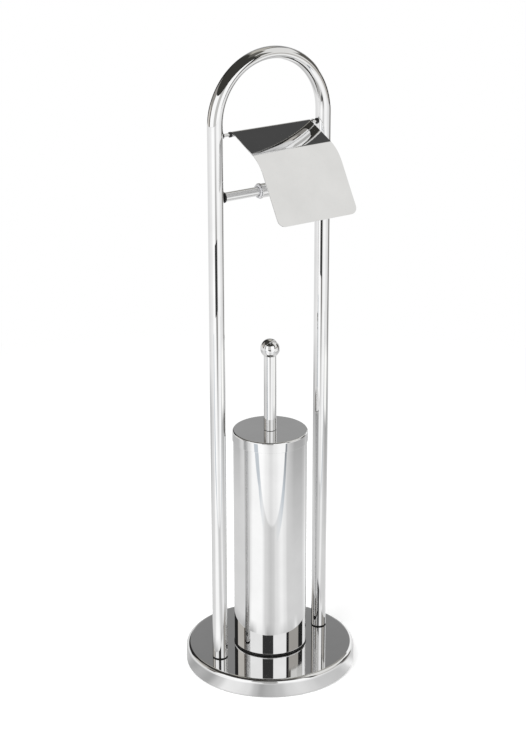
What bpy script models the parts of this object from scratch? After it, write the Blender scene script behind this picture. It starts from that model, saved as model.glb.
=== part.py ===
"""Toilet butler stand: weighted round base, arched tube frame, roll cover, sprung roll bar, brush set.

Units are metres, +Z is up, X runs from leg to leg and the front faces -Y.
The origin lies on the floor, below the middle of the base.
"""

import math

import bmesh
import bpy
from mathutils import Matrix, Vector

# Clearances and cutting
GAP = 0.0003
CUT_OVERRUN = 0.0010
MERGE_DISTANCE = 0.000005

# Facets
LARGE_SEGMENTS = 48
MEDIUM_SEGMENTS = 32
SMALL_SEGMENTS = 20
ARC_STEPS = 3
HEX_SIDES = 6

# Base
BASE_RADIUS = 0.1000
BASE_SKIRT_HEIGHT = 0.0210
BASE_SHOULDER_RADIUS = 0.0036
BASE_SHEET = 0.0010
SKIRT_FLOOR_CLEARANCE = 0.0015
PLATE_RECESS = 0.0015
BASE_PLATE_THICKNESS = 0.0015
FOOT_PAD_RADIUS = 0.0090
FOOT_PAD_EDGE_INSET = 0.0200
FOOT_PAD_COUNT = 4

# Base fasteners
SCREW_SHANK_RADIUS = 0.0030
SCREW_HEAD_RADIUS = 0.0050
SCREW_HEAD_HEIGHT = 0.0045
SCREW_SOCKET_RADIUS = 0.0026
SCREW_SOCKET_DEPTH = 0.0025
SCREW_ENGAGEMENT = 0.0120
WASHER_RADIUS = 0.0065
WASHER_THICKNESS = 0.0012

# Frame tube
LEG_HEIGHT = 0.6353
TUBE_RADIUS = 0.0087
TUBE_WALL = 0.0012
ARCH_STEPS = 22
TUBE_SIDES = 24
ARCH_FLATTENING_SHARE = 0.21
ARCH_WIDENING_SHARE = 0.04
LEG_GASKET_THICKNESS = 0.0008
LEG_GASKET_LIP = 0.0002
LEG_PLUG_LENGTH = 0.0180

# Cover hinge
HINGE_DROP = 0.0114
HINGE_ROD_RADIUS = 0.0018
HINGE_ROD_REACH = 0.0010
HINGE_BUSH_RADIUS = 0.0033
HINGE_BUSH_FLANGE = 0.0010
HINGE_BUSH_SLEEVE = 0.0006
STOP_COLLAR_RADIUS = 0.0030
STOP_COLLAR_WIDTH = 0.0024
COLLAR_PLAY = 0.0030
STOP_LUG_LENGTH = 0.0020
STOP_LUG_ANGLE = math.radians(34)
STOP_LUG_CENTRE = math.radians(-38)
COVER_TRAVEL = math.radians(90)

# Roll cover
COVER_WIDTH = 0.1036
COVER_SIDE_ROOM = 0.0110
COVER_SIDE_SHIFT = 0.0010
COVER_SHEET = 0.0008
COVER_EYE_TURN = math.radians(290)
COVER_TOP_SLOPE = math.radians(23)
COVER_FRONT_SLOPE = math.radians(59)
COVER_TOP_LENGTH = 0.0412
COVER_BEND_RADIUS = 0.0460
COVER_FRONT_LENGTH = 0.0590
COVER_CORNER_RADIUS = 0.0083
COVER_EYE_STEPS = 16
COVER_BEND_STEPS = 9
COVER_CORNER_STEPS = 5

# Roll bar
BAR_DROP = 0.0682
BAR_TUBE_RADIUS = 0.0050
BAR_TUBE_WALL = 0.0008
BAR_TUBE_OVERLAP = 0.0403
BAR_SLEEVE_RADIUS = 0.0078
BAR_SLEEVE_WALL = 0.0008
BAR_SLEEVE_LENGTH = 0.0756
BAR_BUSH_RADIUS = 0.0086
BAR_BUSH_FLANGE = 0.0012
BAR_BUSH_SPIGOT = 0.0080
BAR_BUFFER_RADIUS = 0.0060
BAR_BUFFER_THICKNESS = 0.0018
BAR_SPIGOT_LENGTH = 0.0060
BAR_PIN_RADIUS = 0.0020
BAR_PIN_LENGTH = 0.0040
BAR_PISTON_THICKNESS = 0.0040

# Roll bar spring
SPRING_WIRE_RADIUS = 0.0006
SPRING_COIL_CLEARANCE = 0.0004
SPRING_PITCH = 0.0029
SPRING_CURL_POINTS = 9

# Brush holder
HOLDER_RADIUS = 0.0426
HOLDER_SHEET = 0.0008
HOLDER_HEIGHT = 0.2682
HOLDER_CORNER_RADIUS = 0.0015
HOLDER_GASKET_THICKNESS = 0.0012
HOLDER_GASKET_LIP = 0.0003
HOLDER_GASKET_WIDTH = 0.0120
HOLDER_NUT_RADIUS = 0.0058
HOLDER_NUT_HEIGHT = 0.0050
LINER_WALL = 0.0015
LINER_CLEARANCE = 0.0005
LINER_FLANGE_THICKNESS = 0.0012
LINER_FLOOR_CLEARANCE = 0.0010

# Lid and handle
LID_RADIUS = 0.0435
LID_SHEET = 0.0005
LID_SKIRT_HEIGHT = 0.0125
LID_EDGE_RADIUS = 0.0012
LID_INSERT_THICKNESS = 0.0050
LID_INSERT_CLEARANCE = 0.0010
HANDLE_RADIUS = 0.0072
HANDLE_WALL = 0.0010
HANDLE_LENGTH = 0.0902
KNOB_RADIUS = 0.0112
KNOB_NECK_SHARE = 1.06
KNOB_SPIGOT_LENGTH = 0.0080
KNOB_STEPS = 10

# Brush
ROD_RADIUS = 0.0030
ROD_IN_KNOB = 0.0040
ROD_IN_CORE = 0.0180
BRUSH_NUT_RADIUS = 0.0058
BRUSH_NUT_HEIGHT = 0.0045
BRUSH_FLOOR_CLEARANCE = 0.0117
CORE_LENGTH = 0.0820
CORE_COLLAR_RADIUS = 0.0170
CORE_COLLAR_THICKNESS = 0.0025
CORE_NECK_RADIUS = 0.0090
CORE_NECK_LENGTH = 0.0100
CORE_STEM_RADIUS = 0.0065
BRISTLE_ROOT_RADIUS = 0.0090
BRISTLE_TIP_RADIUS = 0.0350
BRISTLE_THICKNESS_SHARE = 0.30
BRISTLE_ROWS = 15
BRISTLE_COLUMNS = 20
BRISTLE_FAN = math.radians(24)
BRISTLE_BARREL_SHARE = 0.22

# Heights that follow from the sizes above
BASE_TOP_Z = SKIRT_FLOOR_CLEARANCE + BASE_SKIRT_HEIGHT
PLATE_BOTTOM_Z = SKIRT_FLOOR_CLEARANCE + PLATE_RECESS
WEIGHT_BOTTOM_Z = PLATE_BOTTOM_Z + BASE_PLATE_THICKNESS + GAP
WEIGHT_TOP_Z = BASE_TOP_Z - BASE_SHEET - GAP
POCKET_Z = WEIGHT_BOTTOM_Z + SCREW_HEAD_HEIGHT + WASHER_THICKNESS + 3 * GAP
LEG_BOTTOM_Z = BASE_TOP_Z + LEG_GASKET_THICKNESS + 2 * GAP
ARCH_CENTRE_Z = LEG_BOTTOM_Z + LEG_HEIGHT
HINGE_Z = ARCH_CENTRE_Z - HINGE_DROP
BAR_Z = HINGE_Z - BAR_DROP
HOLDER_BOTTOM_Z = BASE_TOP_Z + HOLDER_GASKET_THICKNESS + 2 * GAP
HOLDER_RIM_Z = HOLDER_BOTTOM_Z + HOLDER_HEIGHT
HOLDER_NUT_Z = HOLDER_BOTTOM_Z + HOLDER_SHEET + WASHER_THICKNESS + 2 * GAP
LINER_BOTTOM_Z = HOLDER_NUT_Z + HOLDER_NUT_HEIGHT + LINER_FLOOR_CLEARANCE
LINER_TOP_Z = HOLDER_RIM_Z + GAP + LINER_FLANGE_THICKNESS
LID_TOP_Z = LINER_TOP_Z + GAP + LID_SHEET
HANDLE_BOTTOM_Z = LID_TOP_Z + GAP
HANDLE_TOP_Z = HANDLE_BOTTOM_Z + HANDLE_LENGTH
LINER_FLOOR_Z = LINER_BOTTOM_Z + LINER_WALL
CORE_BOTTOM_Z = LINER_FLOOR_Z + BRUSH_FLOOR_CLEARANCE
CORE_TOP_Z = CORE_BOTTOM_Z + CORE_LENGTH

# Radii and places that follow from the sizes above
LEG_X = COVER_WIDTH / 2 + COVER_SIDE_ROOM + TUBE_RADIUS
LEG_FACE_X = LEG_X - TUBE_RADIUS
TUBE_BORE_RADIUS = TUBE_RADIUS - TUBE_WALL
FOOT_PAD_CIRCLE_RADIUS = BASE_RADIUS - FOOT_PAD_EDGE_INSET
SCREW_HOLE_RADIUS = SCREW_SHANK_RADIUS + GAP
ROD_HOLE_RADIUS = ROD_RADIUS + GAP
EYE_BORE_RADIUS = HINGE_ROD_RADIUS + GAP
EYE_RADIUS = EYE_BORE_RADIUS + COVER_SHEET
COVER_LEFT_X = COVER_SIDE_SHIFT - COVER_WIDTH / 2
COVER_RIGHT_X = COVER_SIDE_SHIFT + COVER_WIDTH / 2
BUFFER_FACE_X = LEG_FACE_X - GAP
BAR_END_X = BUFFER_FACE_X - BAR_BUFFER_THICKNESS - GAP
SLEEVE_MOUTH_X = BAR_END_X - BAR_SLEEVE_LENGTH
BAR_SLEEVE_BORE = BAR_SLEEVE_RADIUS - BAR_SLEEVE_WALL
BAR_TUBE_BORE = BAR_TUBE_RADIUS - BAR_TUBE_WALL
BAR_TUBE_END_X = SLEEVE_MOUTH_X + BAR_TUBE_OVERLAP
PISTON_X = BAR_TUBE_END_X + GAP
SPRING_START_X = PISTON_X + BAR_PISTON_THICKNESS + GAP
SPRING_END_X = BAR_END_X - BAR_SPIGOT_LENGTH - GAP
LINER_RADIUS = HOLDER_RADIUS - HOLDER_SHEET - LINER_CLEARANCE
LINER_BORE_RADIUS = LINER_RADIUS - LINER_WALL

# Directions
ALONG_X = (math.pi / 2, 0, math.pi / 2)
AGAINST_X = (-math.pi / 2, 0, math.pi / 2)
SIDES = {"left": -1, "right": 1}
BASE_SCREW_PLACES = {"left": -LEG_X, "middle": 0, "right": LEG_X}


def clear_objects():
    """Remove every object of the file the script starts from."""
    for obj in list(bpy.data.objects):
        bpy.data.objects.remove(obj, do_unlink=True)


def make_collection(name):
    """Add a collection to the scene and return it."""
    collection = bpy.data.collections.new(name)
    bpy.context.scene.collection.children.link(collection)
    return collection


def make_material(name, colour, roughness, metallic):
    """Return a Principled material of one colour."""
    material = bpy.data.materials.new(name)
    material.use_nodes = True
    shader = material.node_tree.nodes["Principled BSDF"]
    shader.inputs["Base Color"].default_value = (*colour, 1)
    shader.inputs["Roughness"].default_value = roughness
    shader.inputs["Metallic"].default_value = metallic
    material.diffuse_color = (*colour, 1)
    return material


clear_objects()
PARTS = make_collection("toilet_butler_stand")
CUTTERS = make_collection("cutters")
POLISHED_STEEL = make_material("polished_steel", (0.80, 0.80, 0.80), 0.05, 1.0)
ZINC_STEEL = make_material("zinc_steel", (0.62, 0.62, 0.64), 0.30, 1.0)
CAST_IRON = make_material("cast_iron", (0.10, 0.10, 0.11), 0.70, 1.0)
BLACK_RUBBER = make_material("black_rubber", (0.02, 0.02, 0.02), 0.80, 0.0)
BLACK_PLASTIC = make_material("black_plastic", (0.03, 0.03, 0.03), 0.40, 0.0)
GREY_PLASTIC = make_material("grey_plastic", (0.45, 0.45, 0.47), 0.50, 0.0)
WHITE_PLASTIC = make_material("white_plastic", (0.85, 0.85, 0.85), 0.45, 0.0)
WHITE_BRISTLE = make_material("white_bristle", (0.90, 0.90, 0.88), 0.60, 0.0)


def add_part(name, data, material, location=(0, 0, 0), rotation=(0, 0, 0)):
    """Put mesh or curve data into the scene as one named part."""
    obj = bpy.data.objects.new(name, data)
    data.materials.append(material)
    PARTS.objects.link(obj)
    obj.location = location
    obj.rotation_euler = rotation
    return obj


def hide_as_cutter(obj):
    """Move an object to the cutters and leave it out of the model."""
    for collection in list(obj.users_collection):
        collection.objects.unlink(obj)
    CUTTERS.objects.link(obj)
    obj.hide_render = True
    obj.display_type = "WIRE"
    return obj


def arc_points(centre, radius, start_degrees, end_degrees, steps):
    """Return points (radius, height) on an arc about centre, both ends included."""
    points = []
    for step in range(steps + 1):
        angle = math.radians(start_degrees + (end_degrees - start_degrees) * step / steps)
        points.append((centre[0] + radius * math.cos(angle), centre[1] + radius * math.sin(angle)))
    return points


def turned(name, profile, material, segments, location=(0, 0, 0), rotation=(0, 0, 0)):
    """Revolve a profile of (radius, height) points about local Z.

    The profile runs down the outer side. It starts and ends on the axis for a solid without a
    bore, and is closed into a ring otherwise.
    """
    mesh = bpy.data.meshes.new(name)
    edges = [(index, index + 1) for index in range(len(profile) - 1)]
    if profile[0][0] > 0:
        edges.append((len(profile) - 1, 0))
    mesh.from_pydata([(radius, 0, height) for radius, height in profile], edges, [])
    obj = add_part(name, mesh, material, location, rotation)
    screw = obj.modifiers.new("turn", "SCREW")
    screw.axis = "Z"
    screw.angle = math.tau
    screw.steps = segments
    screw.render_steps = segments
    screw.use_merge_vertices = True
    screw.merge_threshold = MERGE_DISTANCE
    screw.use_smooth_shade = True
    return obj


def ring_profile(outer, bore, bottom, top):
    """Return the profile of a plain ring between two heights."""
    return [(outer, top), (outer, bottom), (bore, bottom), (bore, top)]


def disc_profile(radius, bottom, top):
    """Return the profile of a plain disc between two heights."""
    return [(0, top), (radius, top), (radius, bottom), (0, bottom)]


def cut(obj, cutter, operation="DIFFERENCE"):
    """Add an exact Boolean to obj."""
    boolean = obj.modifiers.new(operation.lower() + "_" + cutter.name, "BOOLEAN")
    boolean.operation = operation
    boolean.solver = "EXACT"
    boolean.object = cutter


def round_cutter(name, radius, bottom, top, segments=MEDIUM_SEGMENTS, location=(0, 0, 0),
                 rotation=(0, 0, 0)):
    """Return a cylinder that only cuts."""
    profile = disc_profile(radius, bottom, top)
    return hide_as_cutter(turned(name, profile, ZINC_STEEL, segments, location, rotation))


def hex_nut(name, radius, bore, bottom, top):
    """Hexagonal nut on the Z axis with a round bore."""
    nut = turned(name, disc_profile(radius, bottom, top), ZINC_STEEL, HEX_SIDES)
    cut(nut, round_cutter(name + "_bore", bore, bottom - CUT_OVERRUN, top + CUT_OVERRUN, SMALL_SEGMENTS))


def outline_solid(name, outline, start, end, material, location, rotation):
    """Extrude a closed flat outline along local Z from start to end."""
    curve = bpy.data.curves.new(name, "CURVE")
    curve.dimensions = "2D"
    curve.fill_mode = "BOTH"
    curve.extrude = (end - start) / 2
    spline = curve.splines.new("POLY")
    spline.points.add(len(outline) - 1)
    for point, (x, y) in zip(spline.points, outline):
        point.co = (x, y, 0, 1)
    spline.use_cyclic_u = True
    flat = bpy.data.objects.new(name + "_outline", curve)
    PARTS.objects.link(flat)
    mesh = bpy.data.meshes.new_from_object(flat.evaluated_get(bpy.context.evaluated_depsgraph_get()))
    bpy.data.objects.remove(flat, do_unlink=True)
    mesh.materials.clear()
    weld_mesh(mesh, Matrix.Translation((0, 0, (start + end) / 2)))
    return add_part(name, mesh, material, location, rotation)


def weld_mesh(mesh, transform):
    """Weld the loose caps of a mesh, face it outwards and move it within its object."""
    edit = bmesh.new()
    edit.from_mesh(mesh)
    bmesh.ops.remove_doubles(edit, verts=edit.verts, dist=MERGE_DISTANCE)
    bmesh.ops.transform(edit, matrix=transform, verts=edit.verts)
    bmesh.ops.recalc_face_normals(edit, faces=edit.faces)
    edit.to_mesh(mesh)
    edit.free()


def sector_outline(inner, outer, centre_angle, width_angle):
    """Return the outline of a ring sector, steps spaced as on a small round."""
    half = math.degrees(width_angle) / 2
    middle = math.degrees(centre_angle)
    steps = max(2, math.ceil(SMALL_SEGMENTS * width_angle / math.tau))
    out = arc_points((0, 0), outer, middle - half, middle + half, steps)
    back = arc_points((0, 0), inner, middle + half, middle - half, steps)
    return out + back


def loft_rings(rings, close_loop):
    """Return a mesh through rings of equal point counts, closed end to start or capped."""
    edit = bmesh.new()
    vertex_rings = [[edit.verts.new(point) for point in ring] for ring in rings]
    count = len(rings[0])
    last = len(rings) if close_loop else len(rings) - 1
    for index in range(last):
        first = vertex_rings[index]
        second = vertex_rings[(index + 1) % len(rings)]
        for side in range(count):
            beside = (side + 1) % count
            edit.faces.new((first[side], first[beside], second[beside], second[side]))
    if not close_loop:
        edit.faces.new(vertex_rings[0])
        edit.faces.new(vertex_rings[-1])
    bmesh.ops.recalc_face_normals(edit, faces=edit.faces)
    mesh = bpy.data.meshes.new("loft")
    edit.to_mesh(mesh)
    edit.free()
    mesh.shade_smooth()
    mesh.set_sharp_from_angle(angle=math.radians(35))
    return mesh


# Base


def make_screw_recesses():
    """Return a stepped cutter for each base screw: shank hole above, open head pocket below."""
    profile = [
        (0, BASE_TOP_Z + CUT_OVERRUN),
        (SCREW_HOLE_RADIUS, BASE_TOP_Z + CUT_OVERRUN),
        (SCREW_HOLE_RADIUS, POCKET_Z),
        (WASHER_RADIUS + GAP, POCKET_Z),
        (WASHER_RADIUS + GAP, PLATE_BOTTOM_Z - CUT_OVERRUN),
        (0, PLATE_BOTTOM_Z - CUT_OVERRUN),
    ]
    recesses = []
    for place, x in BASE_SCREW_PLACES.items():
        recess = turned(f"screw_recess_{place}", profile, CAST_IRON, SMALL_SEGMENTS, (x, 0, 0))
        recesses.append(hide_as_cutter(recess))
    return recesses


def make_base_cover(recesses):
    """Drawn cap with a rounded shoulder, and a hole for each screw."""
    shoulder_r = BASE_RADIUS - BASE_SHOULDER_RADIUS
    shoulder = (shoulder_r, BASE_TOP_Z - BASE_SHOULDER_RADIUS)
    inner_shoulder = BASE_SHOULDER_RADIUS - BASE_SHEET
    profile = [(0, BASE_TOP_Z)]
    profile += arc_points(shoulder, BASE_SHOULDER_RADIUS, 90, 0, ARC_STEPS)
    profile += [(BASE_RADIUS, SKIRT_FLOOR_CLEARANCE)]
    profile += [(BASE_RADIUS - BASE_SHEET, SKIRT_FLOOR_CLEARANCE)]
    profile += arc_points(shoulder, inner_shoulder, 0, 90, ARC_STEPS)
    profile += [(0, BASE_TOP_Z - BASE_SHEET)]
    cover = turned("base_cover", profile, POLISHED_STEEL, LARGE_SEGMENTS)
    for recess in recesses:
        cut(cover, recess)


def make_base_weight(recesses):
    """Cast ballast disc with a stepped hole for each screw."""
    radius = BASE_RADIUS - BASE_SHOULDER_RADIUS - GAP
    profile = disc_profile(radius, WEIGHT_BOTTOM_Z, WEIGHT_TOP_Z)
    weight = turned("base_weight", profile, CAST_IRON, LARGE_SEGMENTS)
    for recess in recesses:
        cut(weight, recess)


def make_base_plate(recesses):
    """Plastic underside plate with an opening below each screw head."""
    radius = BASE_RADIUS - BASE_SHEET - GAP
    profile = disc_profile(radius, PLATE_BOTTOM_Z, PLATE_BOTTOM_Z + BASE_PLATE_THICKNESS)
    plate = turned("base_plate", profile, BLACK_PLASTIC, LARGE_SEGMENTS)
    for recess in recesses:
        cut(plate, recess)


def make_foot_pads():
    """Non-slip pads below the plate, between the screws."""
    profile = disc_profile(FOOT_PAD_RADIUS, 0, PLATE_BOTTOM_Z - GAP)
    for index in range(FOOT_PAD_COUNT):
        angle = math.tau * (index + 1 / 2) / FOOT_PAD_COUNT
        x = FOOT_PAD_CIRCLE_RADIUS * math.cos(angle)
        y = FOOT_PAD_CIRCLE_RADIUS * math.sin(angle)
        turned(f"foot_pad_{index + 1}", profile, BLACK_RUBBER, SMALL_SEGMENTS, (x, y, 0))


def make_base_screw(kind, ending, x, top):
    """Socket screw from below with its washer, both in the pocket of the ballast disc."""
    head_top = POCKET_Z - 2 * GAP - WASHER_THICKNESS
    head_bottom = head_top - SCREW_HEAD_HEIGHT
    socket_top = head_bottom + SCREW_SOCKET_DEPTH
    profile = [
        (0, top),
        (SCREW_SHANK_RADIUS, top),
        (SCREW_SHANK_RADIUS, head_top),
        (SCREW_HEAD_RADIUS, head_top),
        (SCREW_HEAD_RADIUS, head_bottom),
        (SCREW_SOCKET_RADIUS, head_bottom),
        (SCREW_SOCKET_RADIUS, socket_top),
        (0, socket_top),
    ]
    turned(f"{kind}_screw{ending}", profile, ZINC_STEEL, SMALL_SEGMENTS, (x, 0, 0))
    washer_top = POCKET_Z - GAP
    washer = ring_profile(WASHER_RADIUS, SCREW_HOLE_RADIUS, washer_top - WASHER_THICKNESS, washer_top)
    turned(f"{kind}_washer{ending}", washer, ZINC_STEEL, SMALL_SEGMENTS, (x, 0, 0))


# Frame


def frame_sections():
    """Return centre, outward direction and flattening share of each section, foot to foot."""
    sections = [(Vector((-LEG_X, 0, LEG_BOTTOM_Z)), Vector((-1, 0, 0)), 0)]
    for step in range(ARCH_STEPS + 1):
        angle = math.pi * (1 - step / ARCH_STEPS)
        outward = Vector((math.cos(angle), 0, math.sin(angle)))
        centre = Vector((0, 0, ARCH_CENTRE_Z)) + outward * LEG_X
        sections.append((centre, outward, math.sin(angle)))
    sections.append((Vector((LEG_X, 0, LEG_BOTTOM_Z)), Vector((1, 0, 0)), 0))
    return sections


def tube_ring(centre, outward, bend, inset):
    """Return one oval section: flattened in the bend's plane, a little wider across it."""
    half_depth = TUBE_RADIUS * (1 - ARCH_FLATTENING_SHARE * bend) - inset
    half_width = TUBE_RADIUS * (1 + ARCH_WIDENING_SHARE * bend) - inset
    across = Vector((0, 1, 0))
    ring = []
    for side in range(TUBE_SIDES):
        angle = math.tau * side / TUBE_SIDES
        offset = outward * half_depth * math.cos(angle) + across * half_width * math.sin(angle)
        ring.append(centre + offset)
    return ring


def make_frame_tube():
    """One bent tube, open at both feet, with holes for the cover's rod and the roll bar."""
    sections = frame_sections()
    outside = [tube_ring(*section, 0) for section in sections]
    inside = [tube_ring(*section, TUBE_WALL) for section in reversed(sections)]
    frame = add_part("frame_tube", loft_rings(outside + inside, True), POLISHED_STEEL)
    rod_hole = EYE_BORE_RADIUS + HINGE_BUSH_SLEEVE + GAP
    bar_hole = BAR_PIN_RADIUS + GAP
    for name, radius, z in (("rod_holes", rod_hole, HINGE_Z), ("bar_holes", bar_hole, BAR_Z)):
        cut(frame, round_cutter(name, radius, -LEG_X, LEG_X, SMALL_SEGMENTS, (0, 0, z), ALONG_X))


def make_leg_fittings():
    """Gasket under each leg, threaded plug inside it, screw and washer below."""
    for side, sign in SIDES.items():
        x = sign * LEG_X
        gasket_bottom = BASE_TOP_Z + GAP
        gasket = ring_profile(TUBE_RADIUS + LEG_GASKET_LIP, SCREW_HOLE_RADIUS, gasket_bottom,
                              gasket_bottom + LEG_GASKET_THICKNESS)
        turned(f"leg_gasket_{side}", gasket, BLACK_RUBBER, MEDIUM_SEGMENTS, (x, 0, 0))
        plug_top = LEG_BOTTOM_Z + LEG_PLUG_LENGTH
        bore_top = LEG_BOTTOM_Z + SCREW_ENGAGEMENT + 2 * GAP
        plug = [
            (0, plug_top),
            (TUBE_BORE_RADIUS - GAP, plug_top),
            (TUBE_BORE_RADIUS - GAP, LEG_BOTTOM_Z),
            (SCREW_HOLE_RADIUS, LEG_BOTTOM_Z),
            (SCREW_HOLE_RADIUS, bore_top),
            (0, bore_top),
        ]
        turned(f"leg_plug_{side}", plug, ZINC_STEEL, SMALL_SEGMENTS, (x, 0, 0))
        make_base_screw("leg", f"_{side}", x, LEG_BOTTOM_Z + SCREW_ENGAGEMENT)


# Cover hinge


def make_hinge_rod():
    """Rod across the frame, its ends in the bushes of both legs."""
    end = LEG_FACE_X + TUBE_WALL + HINGE_ROD_REACH
    profile = disc_profile(HINGE_ROD_RADIUS, -end, end)
    turned("hinge_rod", profile, POLISHED_STEEL, SMALL_SEGMENTS, (0, 0, HINGE_Z), ALONG_X)


def make_hinge_bushes():
    """Flanged bush in each leg's hole, its flange on the leg's inner face."""
    bore = HINGE_ROD_RADIUS + GAP
    sleeve = bore + HINGE_BUSH_SLEEVE
    flange_back = LEG_FACE_X - GAP
    flange_front = flange_back - HINGE_BUSH_FLANGE
    sleeve_end = LEG_FACE_X + TUBE_WALL + HINGE_ROD_REACH / 2
    profile = [
        (sleeve, sleeve_end),
        (sleeve, flange_back),
        (HINGE_BUSH_RADIUS, flange_back),
        (HINGE_BUSH_RADIUS, flange_front),
        (bore, flange_front),
        (bore, sleeve_end),
    ]
    for side, sign in SIDES.items():
        facing = ALONG_X if sign > 0 else AGAINST_X
        turned(f"hinge_bush_{side}", profile, BLACK_PLASTIC, SMALL_SEGMENTS, (0, 0, HINGE_Z), facing)


def make_stop_collars():
    """Collars on the rod; the left one has a lug that stops the cover's eye."""
    left_end = COVER_LEFT_X - GAP
    left = make_collar("left", left_end - STOP_COLLAR_WIDTH, left_end, BLACK_PLASTIC)
    right_start = COVER_RIGHT_X + COLLAR_PLAY
    make_collar("right", right_start, right_start + STOP_COLLAR_WIDTH, POLISHED_STEEL)
    outline = sector_outline(EYE_BORE_RADIUS, EYE_RADIUS, STOP_LUG_CENTRE, STOP_LUG_ANGLE)
    lug_start = left_end - STOP_COLLAR_WIDTH / 2
    lug_end = COVER_LEFT_X + STOP_LUG_LENGTH
    place = (0, 0, HINGE_Z)
    lug = outline_solid("stop_lug", outline, lug_start, lug_end, BLACK_PLASTIC, place, ALONG_X)
    cut(left, hide_as_cutter(lug), "UNION")


def make_collar(side, start, end, material):
    """Return one plain collar on the hinge rod."""
    profile = ring_profile(STOP_COLLAR_RADIUS, EYE_BORE_RADIUS, start, end)
    name = f"stop_collar_{side}"
    return turned(name, profile, material, SMALL_SEGMENTS, (0, 0, HINGE_Z), ALONG_X)


# Roll cover


def cover_path():
    """Return (arc length, y, z) rows of the cover's top face about the hinge axis, eye end first."""
    slope_out = Vector((-math.cos(COVER_TOP_SLOPE), -math.sin(COVER_TOP_SLOPE)))
    start_angle = math.pi / 2 + COVER_TOP_SLOPE
    rows = []
    for step in range(COVER_EYE_STEPS + 1):
        back = COVER_EYE_TURN * (1 - step / COVER_EYE_STEPS)
        angle = start_angle - back
        rows.append((-EYE_RADIUS * back, EYE_RADIUS * math.cos(angle), EYE_RADIUS * math.sin(angle)))
    tangent = Vector(rows[-1][1:])
    bend_start = tangent + slope_out * COVER_TOP_LENGTH
    normal = Vector((math.sin(COVER_TOP_SLOPE), -math.cos(COVER_TOP_SLOPE)))
    bend_centre = bend_start + normal * COVER_BEND_RADIUS
    bend_angle = COVER_FRONT_SLOPE - COVER_TOP_SLOPE
    for step in range(COVER_BEND_STEPS + 1):
        turn = bend_angle * step / COVER_BEND_STEPS
        arm = Matrix.Rotation(turn, 2) @ (-normal * COVER_BEND_RADIUS)
        point = bend_centre + arm
        rows.append((COVER_TOP_LENGTH + COVER_BEND_RADIUS * turn, point.x, point.y))
    straight_start = Vector(rows[-1][1:])
    length = rows[-1][0]
    down = Vector((-math.cos(COVER_FRONT_SLOPE), -math.sin(COVER_FRONT_SLOPE)))
    for step in range(COVER_CORNER_STEPS + 1):
        lean = math.pi / 2 * step / COVER_CORNER_STEPS
        run = COVER_FRONT_LENGTH - COVER_CORNER_RADIUS * (1 - math.sin(lean))
        point = straight_start + down * run
        rows.append((length + run, point.x, point.y))
    return rows


def cover_half_width(distance, total):
    """Return the cover's half width at a distance along it, with its two front corners rounded."""
    into_corner = distance - (total - COVER_CORNER_RADIUS)
    if into_corner <= 0:
        return COVER_WIDTH / 2
    rounded = math.sqrt(max(0, COVER_CORNER_RADIUS**2 - into_corner**2))
    return COVER_WIDTH / 2 - COVER_CORNER_RADIUS + rounded


def make_roll_cover():
    """Bent sheet with an eye rolled round the rod, notched at the left for the stop lug."""
    rows = cover_path()
    total = rows[-1][0]
    edit = bmesh.new()
    pairs = []
    for distance, y, z in rows:
        half = cover_half_width(distance, total)
        ends = (COVER_SIDE_SHIFT - half, COVER_SIDE_SHIFT + half)
        pairs.append([edit.verts.new((x, y, z)) for x in ends])
    for first, second in zip(pairs, pairs[1:]):
        edit.faces.new((first[0], second[0], second[1], first[1]))
    mesh = bpy.data.meshes.new("roll_cover")
    edit.to_mesh(mesh)
    edit.free()
    mesh.shade_smooth()
    cover = add_part("roll_cover", mesh, POLISHED_STEEL, (0, 0, HINGE_Z))
    solidify = cover.modifiers.new("sheet", "SOLIDIFY")
    solidify.thickness = COVER_SHEET
    solidify.offset = -1
    solidify.use_even_offset = True
    slack = 2 * GAP / EYE_BORE_RADIUS
    notch_angle = STOP_LUG_ANGLE + COVER_TRAVEL + 2 * slack
    notch_centre = STOP_LUG_CENTRE + COVER_TRAVEL / 2
    inner = EYE_BORE_RADIUS - GAP / 2
    outline = sector_outline(inner, EYE_RADIUS + CUT_OVERRUN, notch_centre, notch_angle)
    notch_start = COVER_LEFT_X - CUT_OVERRUN
    notch_end = COVER_LEFT_X + STOP_LUG_LENGTH + GAP
    place = (0, 0, HINGE_Z)
    notch = outline_solid("stop_notch", outline, notch_start, notch_end, POLISHED_STEEL, place, ALONG_X)
    cut(cover, hide_as_cutter(notch))


# Roll bar


def buffer_profile(radius, tube_bore):
    """Return a buffer with its locating pin outwards and its spigot in the tube, pin end up."""
    disc_front = BUFFER_FACE_X - BAR_BUFFER_THICKNESS
    spigot_end = BAR_END_X - BAR_SPIGOT_LENGTH
    return [
        (0, BUFFER_FACE_X + BAR_PIN_LENGTH),
        (BAR_PIN_RADIUS, BUFFER_FACE_X + BAR_PIN_LENGTH),
        (BAR_PIN_RADIUS, BUFFER_FACE_X),
        (radius, BUFFER_FACE_X),
        (radius, disc_front),
        (tube_bore - GAP, disc_front),
        (tube_bore - GAP, spigot_end),
        (0, spigot_end),
    ]


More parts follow.
